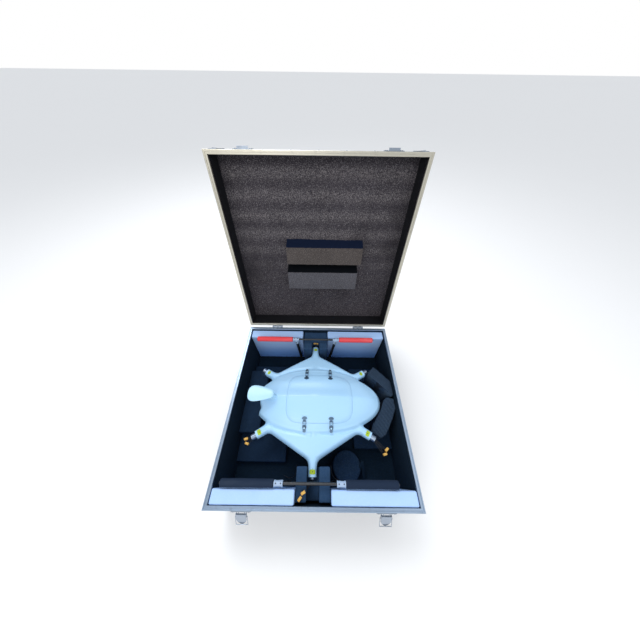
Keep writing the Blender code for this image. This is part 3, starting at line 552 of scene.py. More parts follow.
# ---------------------------------------------------------------- case
def dress_cad(nodes, paint, width=0.0):
    """Gives CAD nodes their material, and rounds their edges."""
    for name in nodes:
        obj = frame["nodes"][name]
        obj.data.materials.clear()
        obj.data.materials.append(PAINTS[paint].mat)
        obj.data.polygons.foreach_set("material_index", [0] * len(obj.data.polygons))
        join = obj.modifiers.new("join", "WELD")
        join.merge_threshold = 0.00001
        if width:
            rounded(obj, width)


def rims():
    """Hybrid edge extrusion: a groove round the tray's mouth, a tongue round the lid's."""
    skirt, deep, strip, sheet = 0.022, 0.010, 0.0145, 0.0013
    inside = [(strip, -0.0012), (strip, -deep), (sheet, -deep), (sheet, -skirt)]
    outside = [(0, -skirt), (0, -0.0010), (0.0010, 0)]
    groove = [(0.0046, 0), (0.0050, -0.0020), (0.0078, -0.0020), (0.0082, 0), (strip - 0.0012, 0)]
    tongue = [(0.0051, 0), (0.0054, 0.0019), (0.0074, 0.0019), (0.0077, 0), (strip - 0.0012, 0)]
    tray = [(d, RIM_Z + z) for d, z in outside + groove + inside]
    lid = [(d, LID_FACE - z) for d, z in outside + tongue + inside]
    for name, body, profile, place in (("case_rim", "case", tray, Matrix()), ("lid_rim", "lid", lid, LID)):
        frame_bm = mitred(bmesh.new(), profile, FACE_X, FACE_Y, place)
        paint = "rim" if body == "case" else "lid_rim"
        piece(name + "_extrusion", frame_bm, body, paint, 25, (name,), 0.0003)


def edge_angles(name, body, low, high, end, place):
    """Aluminium angles on a half of the case: its four corners and the four edges of its closed end.

    The closed end is the top when end is 1, and the underside when it is -1.
    """
    leg, sheet, out = 0.026, 0.0013, ANGLE_OUT
    bm = bmesh.new()
    corner = [(out, out), (-leg, out), (-leg, out - sheet), (out - sheet, out - sheet), (out - sheet, -leg),
              (out, -leg)]
    for sx in (-1, 1):
        for sy in (-1, 1):
            outline = [(sx * (HALF_X + x), sy * (HALF_Y + y)) for x, y in corner]
            prism(bm, outline, high - low, place @ Matrix.Translation((0, 0, low)))
    closed = high if end > 0 else low
    along_x = Matrix(((0, 0, 1, -HALF_X), (1, 0, 0, 0), (0, 1, 0, 0), (0, 0, 0, 1)))
    along_y = Matrix(((1, 0, 0, 0), (0, 0, -1, HALF_Y), (0, 1, 0, 0), (0, 0, 0, 1)))
    for half, length, turn in ((HALF_Y, 2 * HALF_X, along_x), (HALF_X, 2 * HALF_Y, along_y)):
        for s in (-1, 1):
            outline = [(s * (half + x), closed + end * y) for x, y in corner]
            prism(bm, outline, length, place @ turn)
    piece(name, bm, body, "edge", 30, (), 0.0004)


def ball_corner(bm, corner, inward, place):
    """Pressed steel corner: three tapering petals that swell to a ball at the case's corner."""
    size, radius, sheet, steps = 0.046, 0.004, 0.0014, 12
    swell, ball, taper = 0.0030, 0.022, 0.35

    def shell(u, v, axis, depth):
        p = [0.0, 0.0, 0.0]
        p[(axis + 1) % 3], p[(axis + 2) % 3] = u, v
        p = Vector(p)
        inner = Vector(max(c, radius) for c in p)
        way = p - inner
        if way.length > 1e-9:
            p = inner + way.normalized() * (radius - depth)
        bulge = swell * max(1 - (p - Vector((radius,) * 3)).length / ball, 0)
        p -= Vector((CORNER_OUT + bulge,) * 3)
        return place @ Vector(corner[i] + inward[i] * p[i] for i in range(3))

    def petal(axis, depth):
        net = []
        for i in range(steps + 1):
            wide = size * (1 - taper * (i / steps) ** 2)
            points = [shell(size * i / steps, wide * j / steps, axis, depth) for j in range(steps + 1)]
            net.append([bm.verts.new(p) for p in points])
        return net

    for axis in range(3):
        outside, inside = petal(axis, 0), petal(axis, sheet)
        for net in (outside, inside):
            fill(bm, net)
        join_borders(bm, outside, inside)


def fill(bm, net):
    """Faces between the rows of a square net of points."""
    for row, after in zip(net, net[1:]):
        for j in range(len(row) - 1):
            bm.faces.new((row[j], after[j], after[j + 1], row[j + 1]))


def join_borders(bm, net, other):
    """Faces between the outer edges of two square nets."""
    last = len(net) - 1
    ring = [(i, 0) for i in range(last)] + [(last, j) for j in range(last)]
    ring += [(last - i, last) for i in range(last)] + [(0, last - j) for j in range(last)]
    for (a, b), (c, d) in zip(ring, ring[1:] + ring[:1]):
        bm.faces.new((net[a][b], net[c][d], other[c][d], other[a][b]))


def corners():
    """A ball corner on each corner of the tray's underside and of the lid's top."""
    for name, body, closed, inward, place in (
        ("tray_ball_corners", "case", 0.0, 1, Matrix()), ("lid_ball_corners", "lid", LID_TOP, -1, LID),
    ):
        bm = bmesh.new()
        for sx in (-1, 1):
            for sy in (-1, 1):
                tip = (sx * HALF_X, sy * HALF_Y, closed + inward * CORNER_OUT)
                ball_corner(bm, tip, (-sx, -sy, inward), place)
        piece(name, bm, body, "steel", 40)


def side_handles():
    """Low spring handles on the left and right walls."""
    plate, pivot, hang = 0.0016, 0.166, 0.141
    for side, sx in (("left", -1), ("right", 1)):
        wall = sx * HALF_X
        bm = bmesh.new()
        for y in (-0.072, 0.072):
            box(bm, (wall, y - 0.020, 0.128), (wall + sx * plate, y + 0.020, 0.176))
            hinge = wall + sx * 0.0042
            pipe(bm, (hinge, y - 0.015, pivot), (hinge, y + 0.015, pivot), 0.0040, 0.0026)
            for dy in (-0.014, 0.014):
                for z in (0.136, 0.150):
                    rivet(bm, (wall + sx * plate, y + dy, z), (sx, 0, 0))
        piece(f"handle_plates_{side}", bm, "case", "steel", 32, (), 0.0003)
        x = wall + sx * 0.0045
        low = x + sx * 0.001
        path = [(x, -0.090, pivot), (x, -0.058, pivot), (x, -0.055, 0.150), (low, -0.045, hang),
                (low, 0.045, hang), (x, 0.055, 0.150), (x, 0.058, pivot), (x, 0.090, pivot)]
        piece(f"handle_bail_{side}", sweep(bmesh.new(), eased(path), 0.0024, 12), "case", "steel", 60)
        grip = pipe(bmesh.new(), (low, -0.040, hang), (low, 0.040, hang), 0.0050, 0.0025, 24, 0.0015)
        piece(f"handle_grip_{side}", grip, "case", "moulded", 40)


def rivets():
    """Rivets through the angles of both halves, and the screws of the rear rim."""
    inset, pitch = 0.013, 0.105
    face_x, face_y = HALF_X + ANGLE_OUT, HALF_Y + ANGLE_OUT
    for name, body, closed, inward, place, rows in (
        ("tray_rivets", "case", 0.0, 1, Matrix(), (0.075, 0.135, 0.195)),
        ("lid_rivets", "lid", LID_TOP, -1, LID, (0.050,)),
    ):
        bm = bmesh.new()
        turn = place.to_3x3()
        for s in (-1, 1):
            spots = [(k * pitch, k * pitch, inset) for k in range(-3, 4)]
            spots += [(side * (HALF_X - inset), side * (HALF_Y - inset), h) for side in (-1, 1) for h in rows]
            for x, y, height in spots:
                z = closed + inward * height
                rivet(bm, place @ Vector((x, s * face_y, z)), turn @ Vector((0, s, 0)))
                rivet(bm, place @ Vector((s * face_x, y, z)), turn @ Vector((s, 0, 0)))
        piece(name, bm, body, "steel", 50)
    bm = bmesh.new()
    for x in (-0.241, 0.243):
        screw(bm, (x, FACE_Y - 0.0110, RIM_Z), UP, 0.0022)
    piece("rim_screws", bm, "case", "dark_steel", 40)


def latch_rivets():
    """Rivets of the draw-latch plates, catches and hinge leaves."""
    plate_y, leaf_y, leaf_z, leaf_end = -FACE_Y - SKIN_GAP - 0.002, PIN.y - 0.0035, 0.030, 0.008
    front, rear = Vector((0, -1, 0)), Vector((0, 1, 0))
    for side in ("left", "right"):
        bm = bmesh.new()
        low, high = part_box(f"latch_{side}_plate")
        middle = (low.x + high.x) / 2
        for x in (low.x + 0.006, low.x + 0.015, high.x - 0.015, high.x - 0.006):
            down = 0.034 if x < middle else 0.008
            rivet(bm, (x, plate_y, high.z - down), front, 0.0022)
        for z in (low.z + 0.006, high.z - 0.006):
            for x in (low.x + 0.006, high.x - 0.006):
                rivet(bm, (x, plate_y, z), front, 0.0026)
        piece(f"latch_{side}_rivets", bm, "case", "dark_steel", 50)
        bm = bmesh.new()
        for dx in (-0.0295, -0.0235, 0.0235, 0.0295):
            at = Vector((middle + dx, plate_y, LID_FACE + 0.0135))
            rivet(bm, LID @ at, LID.to_3x3() @ front, 0.0024)
        piece(f"catch_{side}_rivets", bm, "lid", "dark_steel", 50)
        low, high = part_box(f"hinge_{side}_case_leaf")
        spots = (low.x + leaf_end, (low.x + high.x) / 2, high.x - leaf_end)
        for half, body, z, place in (("case", "case", -leaf_z, Matrix()), ("lid", "lid", leaf_z, LID)):
            bm = bmesh.new()
            for x in spots:
                screw(bm, place @ Vector((x, leaf_y, PIN.z + z)), place.to_3x3() @ rear)
            piece(f"hinge_{side}_{half}_screws", bm, body, "dark_steel", 40)


# ---------------------------------------------------------------- foam
def lid_foam():
    """The lid's lining: a soft sheet that ripples along X, thin sides, and two glued blocks."""
    x, y = HALF_X - WALL - SKIN_GAP, HALF_Y - WALL - SKIN_GAP
    high = LID_TOP - WALL - SKIN_GAP
    face = high - 0.0077
    ripple, period = 0.0034, LID_RIPPLE

    def drape(p):
        if p.z > face + 0.003:
            return p
        free = min(max((0.25 - p.y) / 0.35, 0), 1)
        edge = min((y - 0.004 - abs(p.y)) / 0.03, (x - 0.004 - abs(p.x)) / 0.03, 1)
        sway = 0.010 * math.sin(p.x * 9) + 0.006 * noise.noise(Vector((p.x * 6, p.y * 4, 0)))
        wave = math.sin((p.y + sway) * math.tau / period)
        lumps = noise.noise(p * 24) * 0.0012 + noise.noise(p * 90) * 0.0004
        return p - UP * max(edge, 0) * (ripple * free * (wave + 1) / 2 + lumps)

    sheet = block(bmesh.new(), (-x, -y, face), (x, y, high - 0.0003), 0.002, 0.006, 0.0, LID, drape)
    piece("lid_foam_sheet", sheet, "lid", "lid_foam", 80, ("lid_liner",))
    low = LID_FACE + 0.0103
    walls = {
        "left": ((-x, -y, low), (-x + LINER, y, face - 0.0005)),
        "right": ((x - LINER, -y, low), (x, y, face - 0.0005)),
        "front": ((-x + LINER, -y, low), (x - LINER, -y + LINER, face - 0.0005)),
        "rear": ((-x + LINER, y - LINER, low), (x - LINER, y, face - 0.0005)),
    }
    for side, (a, b) in walls.items():
        wall = block(bmesh.new(), a, b, 0.0015, 0.010, 0.0003, LID)
        piece(f"lid_foam_{side}", wall, "lid", "lid_side_foam", 80)
    blocks = {
        "block_upper": ((-0.152, -0.0505, LID_FACE + 0.040), (0.212, 0.0325, face + 0.001)),
        "block_lower": ((-0.155, 0.0765, LID_FACE + 0.040), (0.200, 0.1715, face + 0.001)),
    }
    for name, (a, b) in blocks.items():
        def lean(p, a=a, b=b):
            """Slopes the side towards the lid's free edge back to the lining."""
            run = 0.028 * (b[1] - p.y) / (b[1] - a[1]) * (p.z - a[2]) / (b[2] - a[2])
            return p - Vector((0, run, 0))

        piece("lid_" + name, block(bmesh.new(), a, b, 0.0022, 0.005, 0.0007, LID, lean), "lid", name, 80)


def tray_foam():
    """Black lining sheets, pads and the loose round pad of the tray."""
    x, y = HALF_X - WALL - SKIN_GAP, HALF_Y - WALL - SKIN_GAP
    top, floor = RIM_Z - 0.0103, WALL + LINER
    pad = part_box("cradle_front")[0].z + 0.0347
    parts = {  # low corner, high corner, edge radius
        "wall_left": ((-x, -y, floor), (-x + LINER, y, top), 0.0015),
        "wall_right": ((x - LINER, -y, floor), (x, y, top), 0.0015),
        "wall_front": ((-x + LINER, -y, floor), (x - LINER, -y + LINER, top), 0.0015),
        "wall_rear": ((-x + LINER, y - LINER, floor), (x - LINER, y, top), 0.0015),
        "floor": ((-x, -y, WALL + SKIN_GAP), (x, y, floor), 0.0015),
        "pad_left": ((-x + LINER, -0.247, floor), (-0.147, 0.250, pad), 0.004),
        "pad_right": ((0.196, -0.187, floor), (x - LINER, 0.240, pad - 0.0005), 0.004),
        "block_left": ((-x + LINER, -0.130, floor), (-0.284, 0.195, RIM_Z - 0.155), 0.005),
    }
    for name, (low, high, radius) in parts.items():
        lining = name.startswith(("wall", "floor"))
        paint, rough = ("tray_foam", 0.0003) if lining else ("pad_foam", 0.0012)
        body = block(bmesh.new(), low, high, radius, 0.009, rough)
        piece("foam_" + name, body, "case", paint, 80, ("case_liner",))
    profile = [(0.050, 0), (0.064, 0), (0.066, 0.002)]
    rise = RIM_Z - 0.200 - floor
    profile += [(0.066, rise - 0.005), (0.0645, rise - 0.0015), (0.061, rise), (0.030, rise), (0.004, rise)]
    disc = turned(bmesh.new(), profile, Matrix.Translation((0.150, -0.262, floor)), 56)
    for v in disc.verts:
        v.co += noise.noise_vector(v.co * 60) * 0.0008
    piece("foam_round_pad", disc, "case", "pad_foam", 60)


def strips():
    """Two thin foam strips leaning together on the floor, and the loose cable loops."""
    apex = Vector((0.225, -0.243, 0.078))
    for name, foot in (("left", (0.188, -0.307, 0.030)), ("right", (0.232, -0.310, 0.030))):
        place = along(foot, apex)
        length = (apex - Vector(foot)).length
        body = block(bmesh.new(), (-0.0065, -0.003, 0), (0.0065, 0.003, length), 0.0015, 0.008, 0.0004, place)
        piece("foam_strip_" + name, body, "case", "tray_foam", 80)
    loops = {
        "cable_loop_left": [(-0.084, -0.262, 0.115), (-0.087, -0.285, 0.095), (-0.098, -0.302, 0.070),
                            (-0.120, -0.309, 0.040), (-0.150, -0.300, 0.020)],
        "cable_loop_right": [(0.072, -0.262, 0.115), (0.075, -0.288, 0.100), (0.088, -0.306, 0.085),
                             (0.110, -0.315, 0.073), (0.128, -0.322, 0.050)],
    }
    for name, path in loops.items():
        piece(name, sweep(bmesh.new(), eased(path), 0.0016, 10), "case", "wire", 60)


# ---------------------------------------------------------------- aircraft skin
STUB_R, STUB_END, SLEEVE_R, APOTHEM = 0.018, 0.305, 0.0135, 0.226
NOSE, TAIL, EGG_B, TAIL_CUT = 0.333, 0.303, 0.149, 0.270
RIDGE_H, CREASE_H, DECK_SLOPE = 0.093, 0.052, 0.243
BELLY_H, BELLY_A, BELLY_B = 0.098, 0.285, 0.150
SKIN, SEAT, HATCH_SKIN, EDGE_BOND, LEDGE, BRINK = 0.006, 0.0036, 0.003, 0.014, 0.010, 0.00001
HATCH_X0, HATCH_X1, HATCH_Y, HATCH_POWER, HATCH_LINE = -0.130, 0.182, 0.114, 4.5, 0.0006
STUB_AXES = [math.radians(30 + 60 * k) for k in range(6)]
SOCKETS = {k + 1: Vector((math.cos(a), math.sin(a), 0)) for k, a in enumerate(STUB_AXES)}


def blend_min(a, b, width):
    mix = max(width - abs(a - b), 0) / width
    return min(a, b) - mix * mix * width / 4


def egg(x, y):
    """Radial measure of the body's egg-shaped plan: 1 on its outline."""
    return math.hypot(x / (NOSE if x > 0 else TAIL), y / EGG_B)


def outline_distance(x, y, shrink=0.0, cut=True):
    """Distance outside the plan outline; a shrunk outline leaves out the stubs, and cut ends them square."""
    radius = math.hypot(x, y)
    flats = max(x * math.cos(a + math.pi / 6) + y * math.sin(a + math.pi / 6) for a in STUB_AXES)
    q = egg(x, y)
    body = radius * (1 - 1 / q) if q > 1e-6 else -EGG_B
    notch = 0.010 * math.exp(-(((abs(y) - 0.040) / 0.012) ** 2))
    body = max(body, -x - TAIL_CUT + notch)
    edge = blend_min(flats - APOTHEM, body, 0.012)
    if shrink:
        return edge + shrink
    for a in STUB_AXES:
        far, across = x * math.cos(a) + y * math.sin(a), -x * math.sin(a) + y * math.cos(a)
        root = max(abs(across) - STUB_R, -far)
        if cut:
            root = max(root, far - STUB_END)
        edge = blend_min(edge, root, 0.018)
    return edge


def outline_radius(angle, shrink=0.0):
    low, high = 0.10, 0.40
    halvings = 24
    for _ in range(halvings):
        middle = (low + high) / 2
        inside = outline_distance(middle * math.cos(angle), middle * math.sin(angle), shrink) < 0
        low, high = (middle, high) if inside else (low, middle)
    return low


def crease_radius(angle):
    return 1 / egg(math.cos(angle), math.sin(angle))


def hatch_radius(angle):
    c, s = math.cos(angle), math.sin(angle)
    a = HATCH_X1 if c > 0 else HATCH_X0
    return (abs(c / a) ** HATCH_POWER + abs(s / HATCH_Y) ** HATCH_POWER) ** (-1 / HATCH_POWER)


def rounding(inset, width, power=2.0):
    t = 1 - min(max(inset / width, 0), 1)
    return max(1 - t**power, 0) ** (1 / power)


def ease(t):
    t = min(max(t, 0), 1)
    return t * t * (3 - 2 * t)


def deck_slope(x, y):
    return max(CREASE_H - DECK_SLOPE * (math.hypot(x, y) - EGG_B), STUB_R)


def deck_height(x, y):
    """Deck between dome and stubs, with a shallow valley by the dome."""
    return deck_slope(x, y) - 0.0050 * math.exp(-(((egg(x, y) - 1.045) / 0.032) ** 2))


def tongue(x, y):
    """How far the deck rises in a tongue towards each stub."""
    rise = 0.0
    for a in STUB_AXES:
        far, across = x * math.cos(a) + y * math.sin(a), -x * math.sin(a) + y * math.cos(a)
        reach = math.hypot(across, max(0.252 - far, 0))
        if far > 0.2:
            rise = max(rise, 0.0022 * ease((0.0150 - reach) / 0.0045))
    return rise


def crown(x, y):
    """The dome's height, without its fine relief."""
    length = NOSE if x > 0 else TAIL + 0.02
    ridge = RIDGE_H * (1 - min(abs(x) / length, 1) ** 2.6) ** 0.55
    half = EGG_B * math.sqrt(max(1 - (x / (NOSE if x > 0 else TAIL)) ** 2, 1e-4))
    edge = min(deck_slope(x, half), ridge)
    v = abs(y) / half
    return ridge - (ridge - edge) * (0.55 * v + 0.45 * v**3)


def dome_height(x, y):
    """The crown, hollowed beside the ridge on its rear flank, with a low lip round its edge."""
    hollow = 0.0042 * math.sin(math.pi * min(max(y / 0.085, 0), 1)) ** 2 * ease(1.25 - abs(x) / 0.24)
    lip = 0.0022 * math.exp(-(((egg(x, y) - 0.960) / 0.028) ** 2))
    return crown(x, y) - hollow + lip


def skin_top(x, y):
    return dome_height(x, y) if egg(x, y) < 1 else deck_height(x, y)


def plain_top(x, y):
    """The skin's height without its fine relief, where the latches were set."""
    return crown(x, y) if egg(x, y) < 1 else deck_slope(x, y)


def skin_bottom(x, y):
    q = min(math.hypot(x / BELLY_A, y / BELLY_B), 1)
    return STUB_R + (BELLY_H - STUB_R) * (1 - q**3.2) ** 0.6


def on_skin(radius, angle, height, inset=0.0, margin=0.0):
    x, y = radius * math.cos(angle), radius * math.sin(angle)
    side = -outline_distance(x, y, margin, False)
    rise = height(x, y) + (tongue(x, y) if height is skin_top and not inset else 0)
    # the stubs are squarer in section than the hull's edge
    power = 2 + 1.4 * ease((radius - 0.235) / 0.04) * (egg(x, y) > 1)
    return HUB + Vector((x, y, max(rise - inset, 0.001) * rounding(side, STUB_R, power)))


def flipped(point):
    return Vector((point.x, point.y, 2 * HUB.z - point.z))


def on_plane(radius, angle, height):
    return HUB + Vector((radius * math.cos(angle), radius * math.sin(angle), height))


def turns():
    """Directions from the hub, closest together along the sides of the stubs."""
    corner = math.degrees(math.asin(STUB_R / STUB_END))
    near = [corner * f for f in (0, 0.2, 0.4, 0.6, 0.75, 0.87, 0.95, 0.99)]
    side = [corner + d for d in (0.05, 0.12, 0.22, 0.34, 0.48, 0.65, 0.85, 1.1, 1.5, 2.1, 2.9, 4.0, 5.5)]
    wide = [11, 13.5, 16, 18.5, 21, 23.5, 26, 28, 30]
    steps = near + side + wide
    offsets = [math.radians(s * d) for d in steps for s in (-1, 1)]
    return sorted({round((a + offset) % math.tau, 7) for a in STUB_AXES for offset in offsets})


def spread(start, end, count, power=1.0):
    """Radii from start to end, closer together towards the end when power exceeds 1."""
    return [start + (end - start) * (1 - (1 - i / count) ** power) for i in range(count + 1)]


def hull_pieces():
    rays = turns()
    half = SKIN_GAP / 2
    upper, lower, hatch = [], [], []
    for a in rays:
        edge, inner, hole = outline_radius(a), outline_radius(a, EDGE_BOND), hatch_radius(a)
        crease = min(crease_radius(a), edge * 0.94)
        out = spread(hole, crease, 9)[:-1] + spread(crease, edge, 20, 2.0)[:-1]
        fold = min(crease, inner * 0.95)
        back = spread(inner, fold, 5)[:-1] + spread(fold, hole - LEDGE, 5)
        column = [on_skin(r, a, skin_top) for r in out]
        # the stub ends are square, and elsewhere the skin meets the parting plane
        column += [on_skin(edge - BRINK, a, skin_top), on_plane(edge, a, half), on_plane(inner, a, half)]
        column += [on_skin(r, a, skin_top, SKIN, EDGE_BOND) for r in back[1:]]
        column += [on_skin(r, a, skin_top, SEAT) for r in (hole - LEDGE, hole)]
        upper.append(column)
        radii = [f * edge for f in (0.12, 0.3, 0.45, 0.58, 0.68, 0.76, 0.83)]
        radii += spread(0.88 * edge, edge, 9, 2.0)[:-1]
        column = [flipped(on_skin(r, a, skin_bottom)) for r in radii]
        column += [flipped(on_skin(edge - BRINK, a, skin_bottom))]
        column += [on_plane(edge, a, -half), on_plane(inner, a, -half)]
        column += [flipped(on_skin(f * inner, a, skin_bottom, SKIN, EDGE_BOND))
                   for f in (0.97, 0.90, 0.80, 0.65, 0.45, 0.25)]
        lower.append(column)
        rim = hole - HATCH_LINE
        rings = [f * rim for f in (0.06, 0.14, 0.24, 0.34, 0.45, 0.56, 0.67, 0.78, 0.88)]
        rings += [rim - 0.0006, rim]
        column = [on_skin(r, a, skin_top) for r in rings[:-1]]
        column += [on_skin(rim, a, skin_top, 0.0005), on_skin(rim, a, skin_top, HATCH_SKIN)]
        column += [on_skin(r, a, skin_top, HATCH_SKIN) for r in rings[-4::-2]]
        hatch.append(column)
    piece("hull_upper_skin", skin(bmesh.new(), upper, True), "drone", "hull", 50, ("hull_upper",))
    for name, body, columns, node in (
        ("hull_lower_skin", "drone", lower, "hull_lower"), ("hatch_skin", "hatch", hatch, "hatch"),
    ):
        rings = list(zip(*columns))
        piece(name, skin(bmesh.new(), rings), body, "hull", 50, (node,))


def sleeves():
    """Turned aluminium sleeves in the stubs, with their contact blocks."""
    r, bore, start, lip = SLEEVE_R, 0.0110, 0.215, STUB_END + 0.0002
    for k, way in SOCKETS.items():
        low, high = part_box(f"arm_socket_{k}")
        corners = [Vector((x, y, HUB.z)) - HUB for x in (low.x, high.x) for y in (low.y, high.y)]
        # an oblique sleeve's box reaches past its end by the width of its end face
        end = max(c.dot(way) for c in corners) - r * abs(math.sin(2 * math.atan2(way.y, way.x)))
        place = along(HUB, HUB + way)
        flange = [(0.0152, lip), (0.0155, lip + 0.0004), (0.0155, lip + 0.0018), (0.0150, lip + 0.0022)]
        at = lip + 0.0023
        outer = [(bore, start), (r - 0.0005, start), (r - 0.0003, lip)] + flange + [(r - 0.0006, at)]
        while at + 0.0040 < end:
            ring = [(r - 0.0006, 0.0010), (r, 0.0014), (r, 0.0032), (r - 0.0006, 0.0036)]
            outer += [(wide, at + up) for wide, up in ring]
            at += 0.0042
        outer += [(r - 0.0006, end - 0.0004), (r - 0.0010, end), (bore + 0.0002, end), (bore, end - 0.0003)]
        sleeve = turned(bmesh.new(), outer, place, 48, True)
        piece(f"arm_sleeve_{k}", sleeve, "drone", "sleeve", 28, (f"arm_socket_{k}",))
        contacts = turned(bmesh.new(), [(0.0108, 0.262), (0.0108, 0.2795), (0.0100, 0.2800)], place, 32)
        piece(f"contact_block_{k}", contacts, "drone", "moulded", 32)
        bm = bmesh.new()
        for turn in (90, 210, 330):
            p = place @ (Matrix.Rotation(math.radians(turn), 3, "Z") @ Vector((0.0058, 0, 0.279)))
            rod(bm, p, p + way * 0.010, 0.0016, 14, 0.0005)
        piece(f"contact_pins_{k}", bm, "drone", "gold", 32)


def sticker(bm, way, middle, length, width, lift, power):
    """A thin label that follows the skin of a stub; power squares its outline."""
    side, steps, sunk = Vector((-way.y, way.x, 0)), 14, -0.0004

    def net(raise_by):
        rows = []
        for i in range(steps + 1):
            s = -1 + 2 * i / steps
            span = length / 2 * max(1 - abs(s) ** power, 0.01) ** (1 / power)
            row = []
            for j in range(steps + 1):
                flat = way * (middle + span * (-1 + 2 * j / steps)) + side * (width / 2 * s)
                top = on_skin(flat.length, math.atan2(flat.y, flat.x), skin_top)
                out = ((top - HUB) - way * (top - HUB).dot(way)).normalized()
                row.append(bm.verts.new(top + out * raise_by))
            rows.append(row)
        return rows

    face, back = net(lift), net(sunk)
    for grid in (face, back):
        fill(bm, grid)
    join_borders(bm, face, back)
    return bm


def labels():
    """Lime markers on the stubs, rounder on the rear three, each with a dark dot and a tick inboard."""
    middle, inboard = 0.2877, 0.2775
    for k, way in SOCKETS.items():
        shape = (0.0170, 0.0205, 0.0004, 2.2) if k <= 3 else (0.0165, 0.0235, 0.0004, 7.0)
        for name, paint, at, size in (
            ("marker", "label", middle, shape),
            ("marker_dot", "mark", middle, (0.0034, 0.0050, 0.0006, 2.0)),
            ("marker_tick", "mark", inboard, (0.0014, 0.0030, 0.0004, 4.0)),
        ):
            piece(f"{name}_{k}", sticker(bmesh.new(), way, at, *size), "drone", paint, 40)


def gps_pod():
    """Flat aerial paddle: blunt rounded tip, sides running in to a broad neck, on a short swept mast."""
    tip, wide, neck = -0.3050, -0.2720, -0.1860
    half_tip, half_neck = 0.0365, 0.0165
    rings = []
    for i in range(37):
        x = tip + (neck - tip) * (1 - math.cos(math.pi * i / 36)) / 2
        if x < wide:
            half = half_tip * max(1 - ((wide - x) / (wide - tip)) ** 2.7, 0.0) ** (1 / 2.7)
        else:
            half = half_tip - (half_tip - half_neck) * ((x - wide) / (neck - wide)) ** 1.5
        end = max(min((x - tip) / 0.006, (neck - x) / 0.012, 1), 0)
        if x > wide:
            half *= max(1 - (1 - end) ** 2.4, 0) ** (1 / 2.4)
        half = max(half, 0.0004)
        thick = max(0.0052 * math.sqrt(max(1 - (1 - end) ** 2, 0.0)), 0.0003)
        middle = 0.1205 - 0.060 * (x + 0.25)
        ring = []
        for k in range(36):
            c, s = math.cos(math.tau * k / 36), math.sin(math.tau * k / 36)
            y = half * math.copysign(abs(c) ** 0.75, c)
            crown = 0.0014 * (1 - (y / half) ** 2) if s > 0 else 0
            ring.append(HUB + Vector((x, y, middle + thick * math.copysign(abs(s) ** 0.8, s) + crown)))
        rings.append(ring)
    piece("gps_paddle", skin(bmesh.new(), rings), "drone", "pod", 60, ("gps_pod",))
    rings = []
    for i in range(13):
        t = i / 12
        flare = 1 + 0.55 * (1 - t) ** 3 + 0.25 * t**4
        middle = HUB + Vector((-0.200 - 0.010 * t, 0, 0.074 + 0.0440 * t))
        rings.append([middle + Vector((0.0165 * flare * math.cos(a), 0.0105 * flare * math.sin(a), 0))
                      for a in (math.tau * k / 36 for k in range(36))])
    piece("gps_mast", skin(bmesh.new(), rings), "drone", "pod", 60)


def innards():
    """What the hatch uncovers: cell pack with straps and leads, flight controller."""
    low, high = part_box("battery_pack")
    cells = block(bmesh.new(), low, high, 0.005, 0.012, 0.0005)
    piece("cell_pack", cells, "drone", "cells", 60, ("battery_pack",))
    for k, x in enumerate((low.x + 0.035, high.x - 0.035)):
        bm = bmesh.new()
        outline = [(-0.0435, -0.0005), (0.0435, -0.0005), (0.0435, high.z - low.z + 0.0012),
                   (-0.0435, high.z - low.z + 0.0012)]
        inside = [(-0.0405, 0.0008), (0.0405, 0.0008), (0.0405, high.z - low.z + 0.0002),
                  (-0.0405, high.z - low.z + 0.0002)]
        rings = []
        for a, b in zip(outline, inside):
            rings.append([Vector((x + dx, p[0], low.z + p[1])) for dx, p in
                          ((-0.009, a), (0.009, a), (0.009, b), (-0.009, b))])
        piece(f"cell_strap_{k + 1}", skin(bm, rings, True), "drone", "strap", 30)
    low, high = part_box("flight_controller")
    body = block(bmesh.new(), low, high, 0.003, 0.008)
    piece("controller_case", body, "drone", "moulded", 60, ("flight_controller",))
    bm = bmesh.new()
    for i in range(6):
        x = low.x + 0.010 + 0.010 * i
        box(bm, (x - 0.0038, low.y - 0.0022, low.z + 0.006), (x + 0.0038, low.y + 0.0012, low.z + 0.014))
    piece("controller_ports", bm, "drone", "moulded", 30, (), 0.0003)
    bm = bmesh.new()
    for i, (x, side) in enumerate(((0.0, -1), (0.012, 1), (0.030, -1), (-0.02, 1))):
        start = Vector((low.x + 0.012 + 0.012 * i, low.y - 0.002, low.z + 0.010))
        if side > 0:
            start.y = high.y
        end = HUB + Vector((x, side * 0.080, -0.030))
        middle = (start + end) / 2 + UP * 0.014
        sweep(bm, eased([start, middle, end]), 0.0013, 8)
    piece("signal_leads", bm, "drone", "wire", 60)


# ---------------------------------------------------------------- leads and connectors
def connector(name, at, turn):
    """Two-pole power plug: keyed body, ribs, two gold contacts."""
    place = Matrix.Translation(at) @ Matrix.Rotation(turn, 4, "Z")
    bm = block(bmesh.new(), (-0.0085, -0.0045, -0.0075), (0.0085, 0.0045, 0.0065), 0.0014, 0.006, 0.0, place)
    for x in (-0.0058, -0.0029, 0, 0.0029, 0.0058):
        box(bm, (x - 0.0006, -0.0051, -0.0060), (x + 0.0006, 0.0051, -0.0010), place)
    piece(name, bm, "drone", "amber", 35)
    bm = bmesh.new()
    for x in (-0.0040, 0.0040):
        pipe(bm, place @ Vector((x, 0, 0.0040)), place @ Vector((x, 0, 0.0075)), 0.0026, 0.0016, 20)
    piece(name + "_contacts", bm, "drone", "gold", 30)


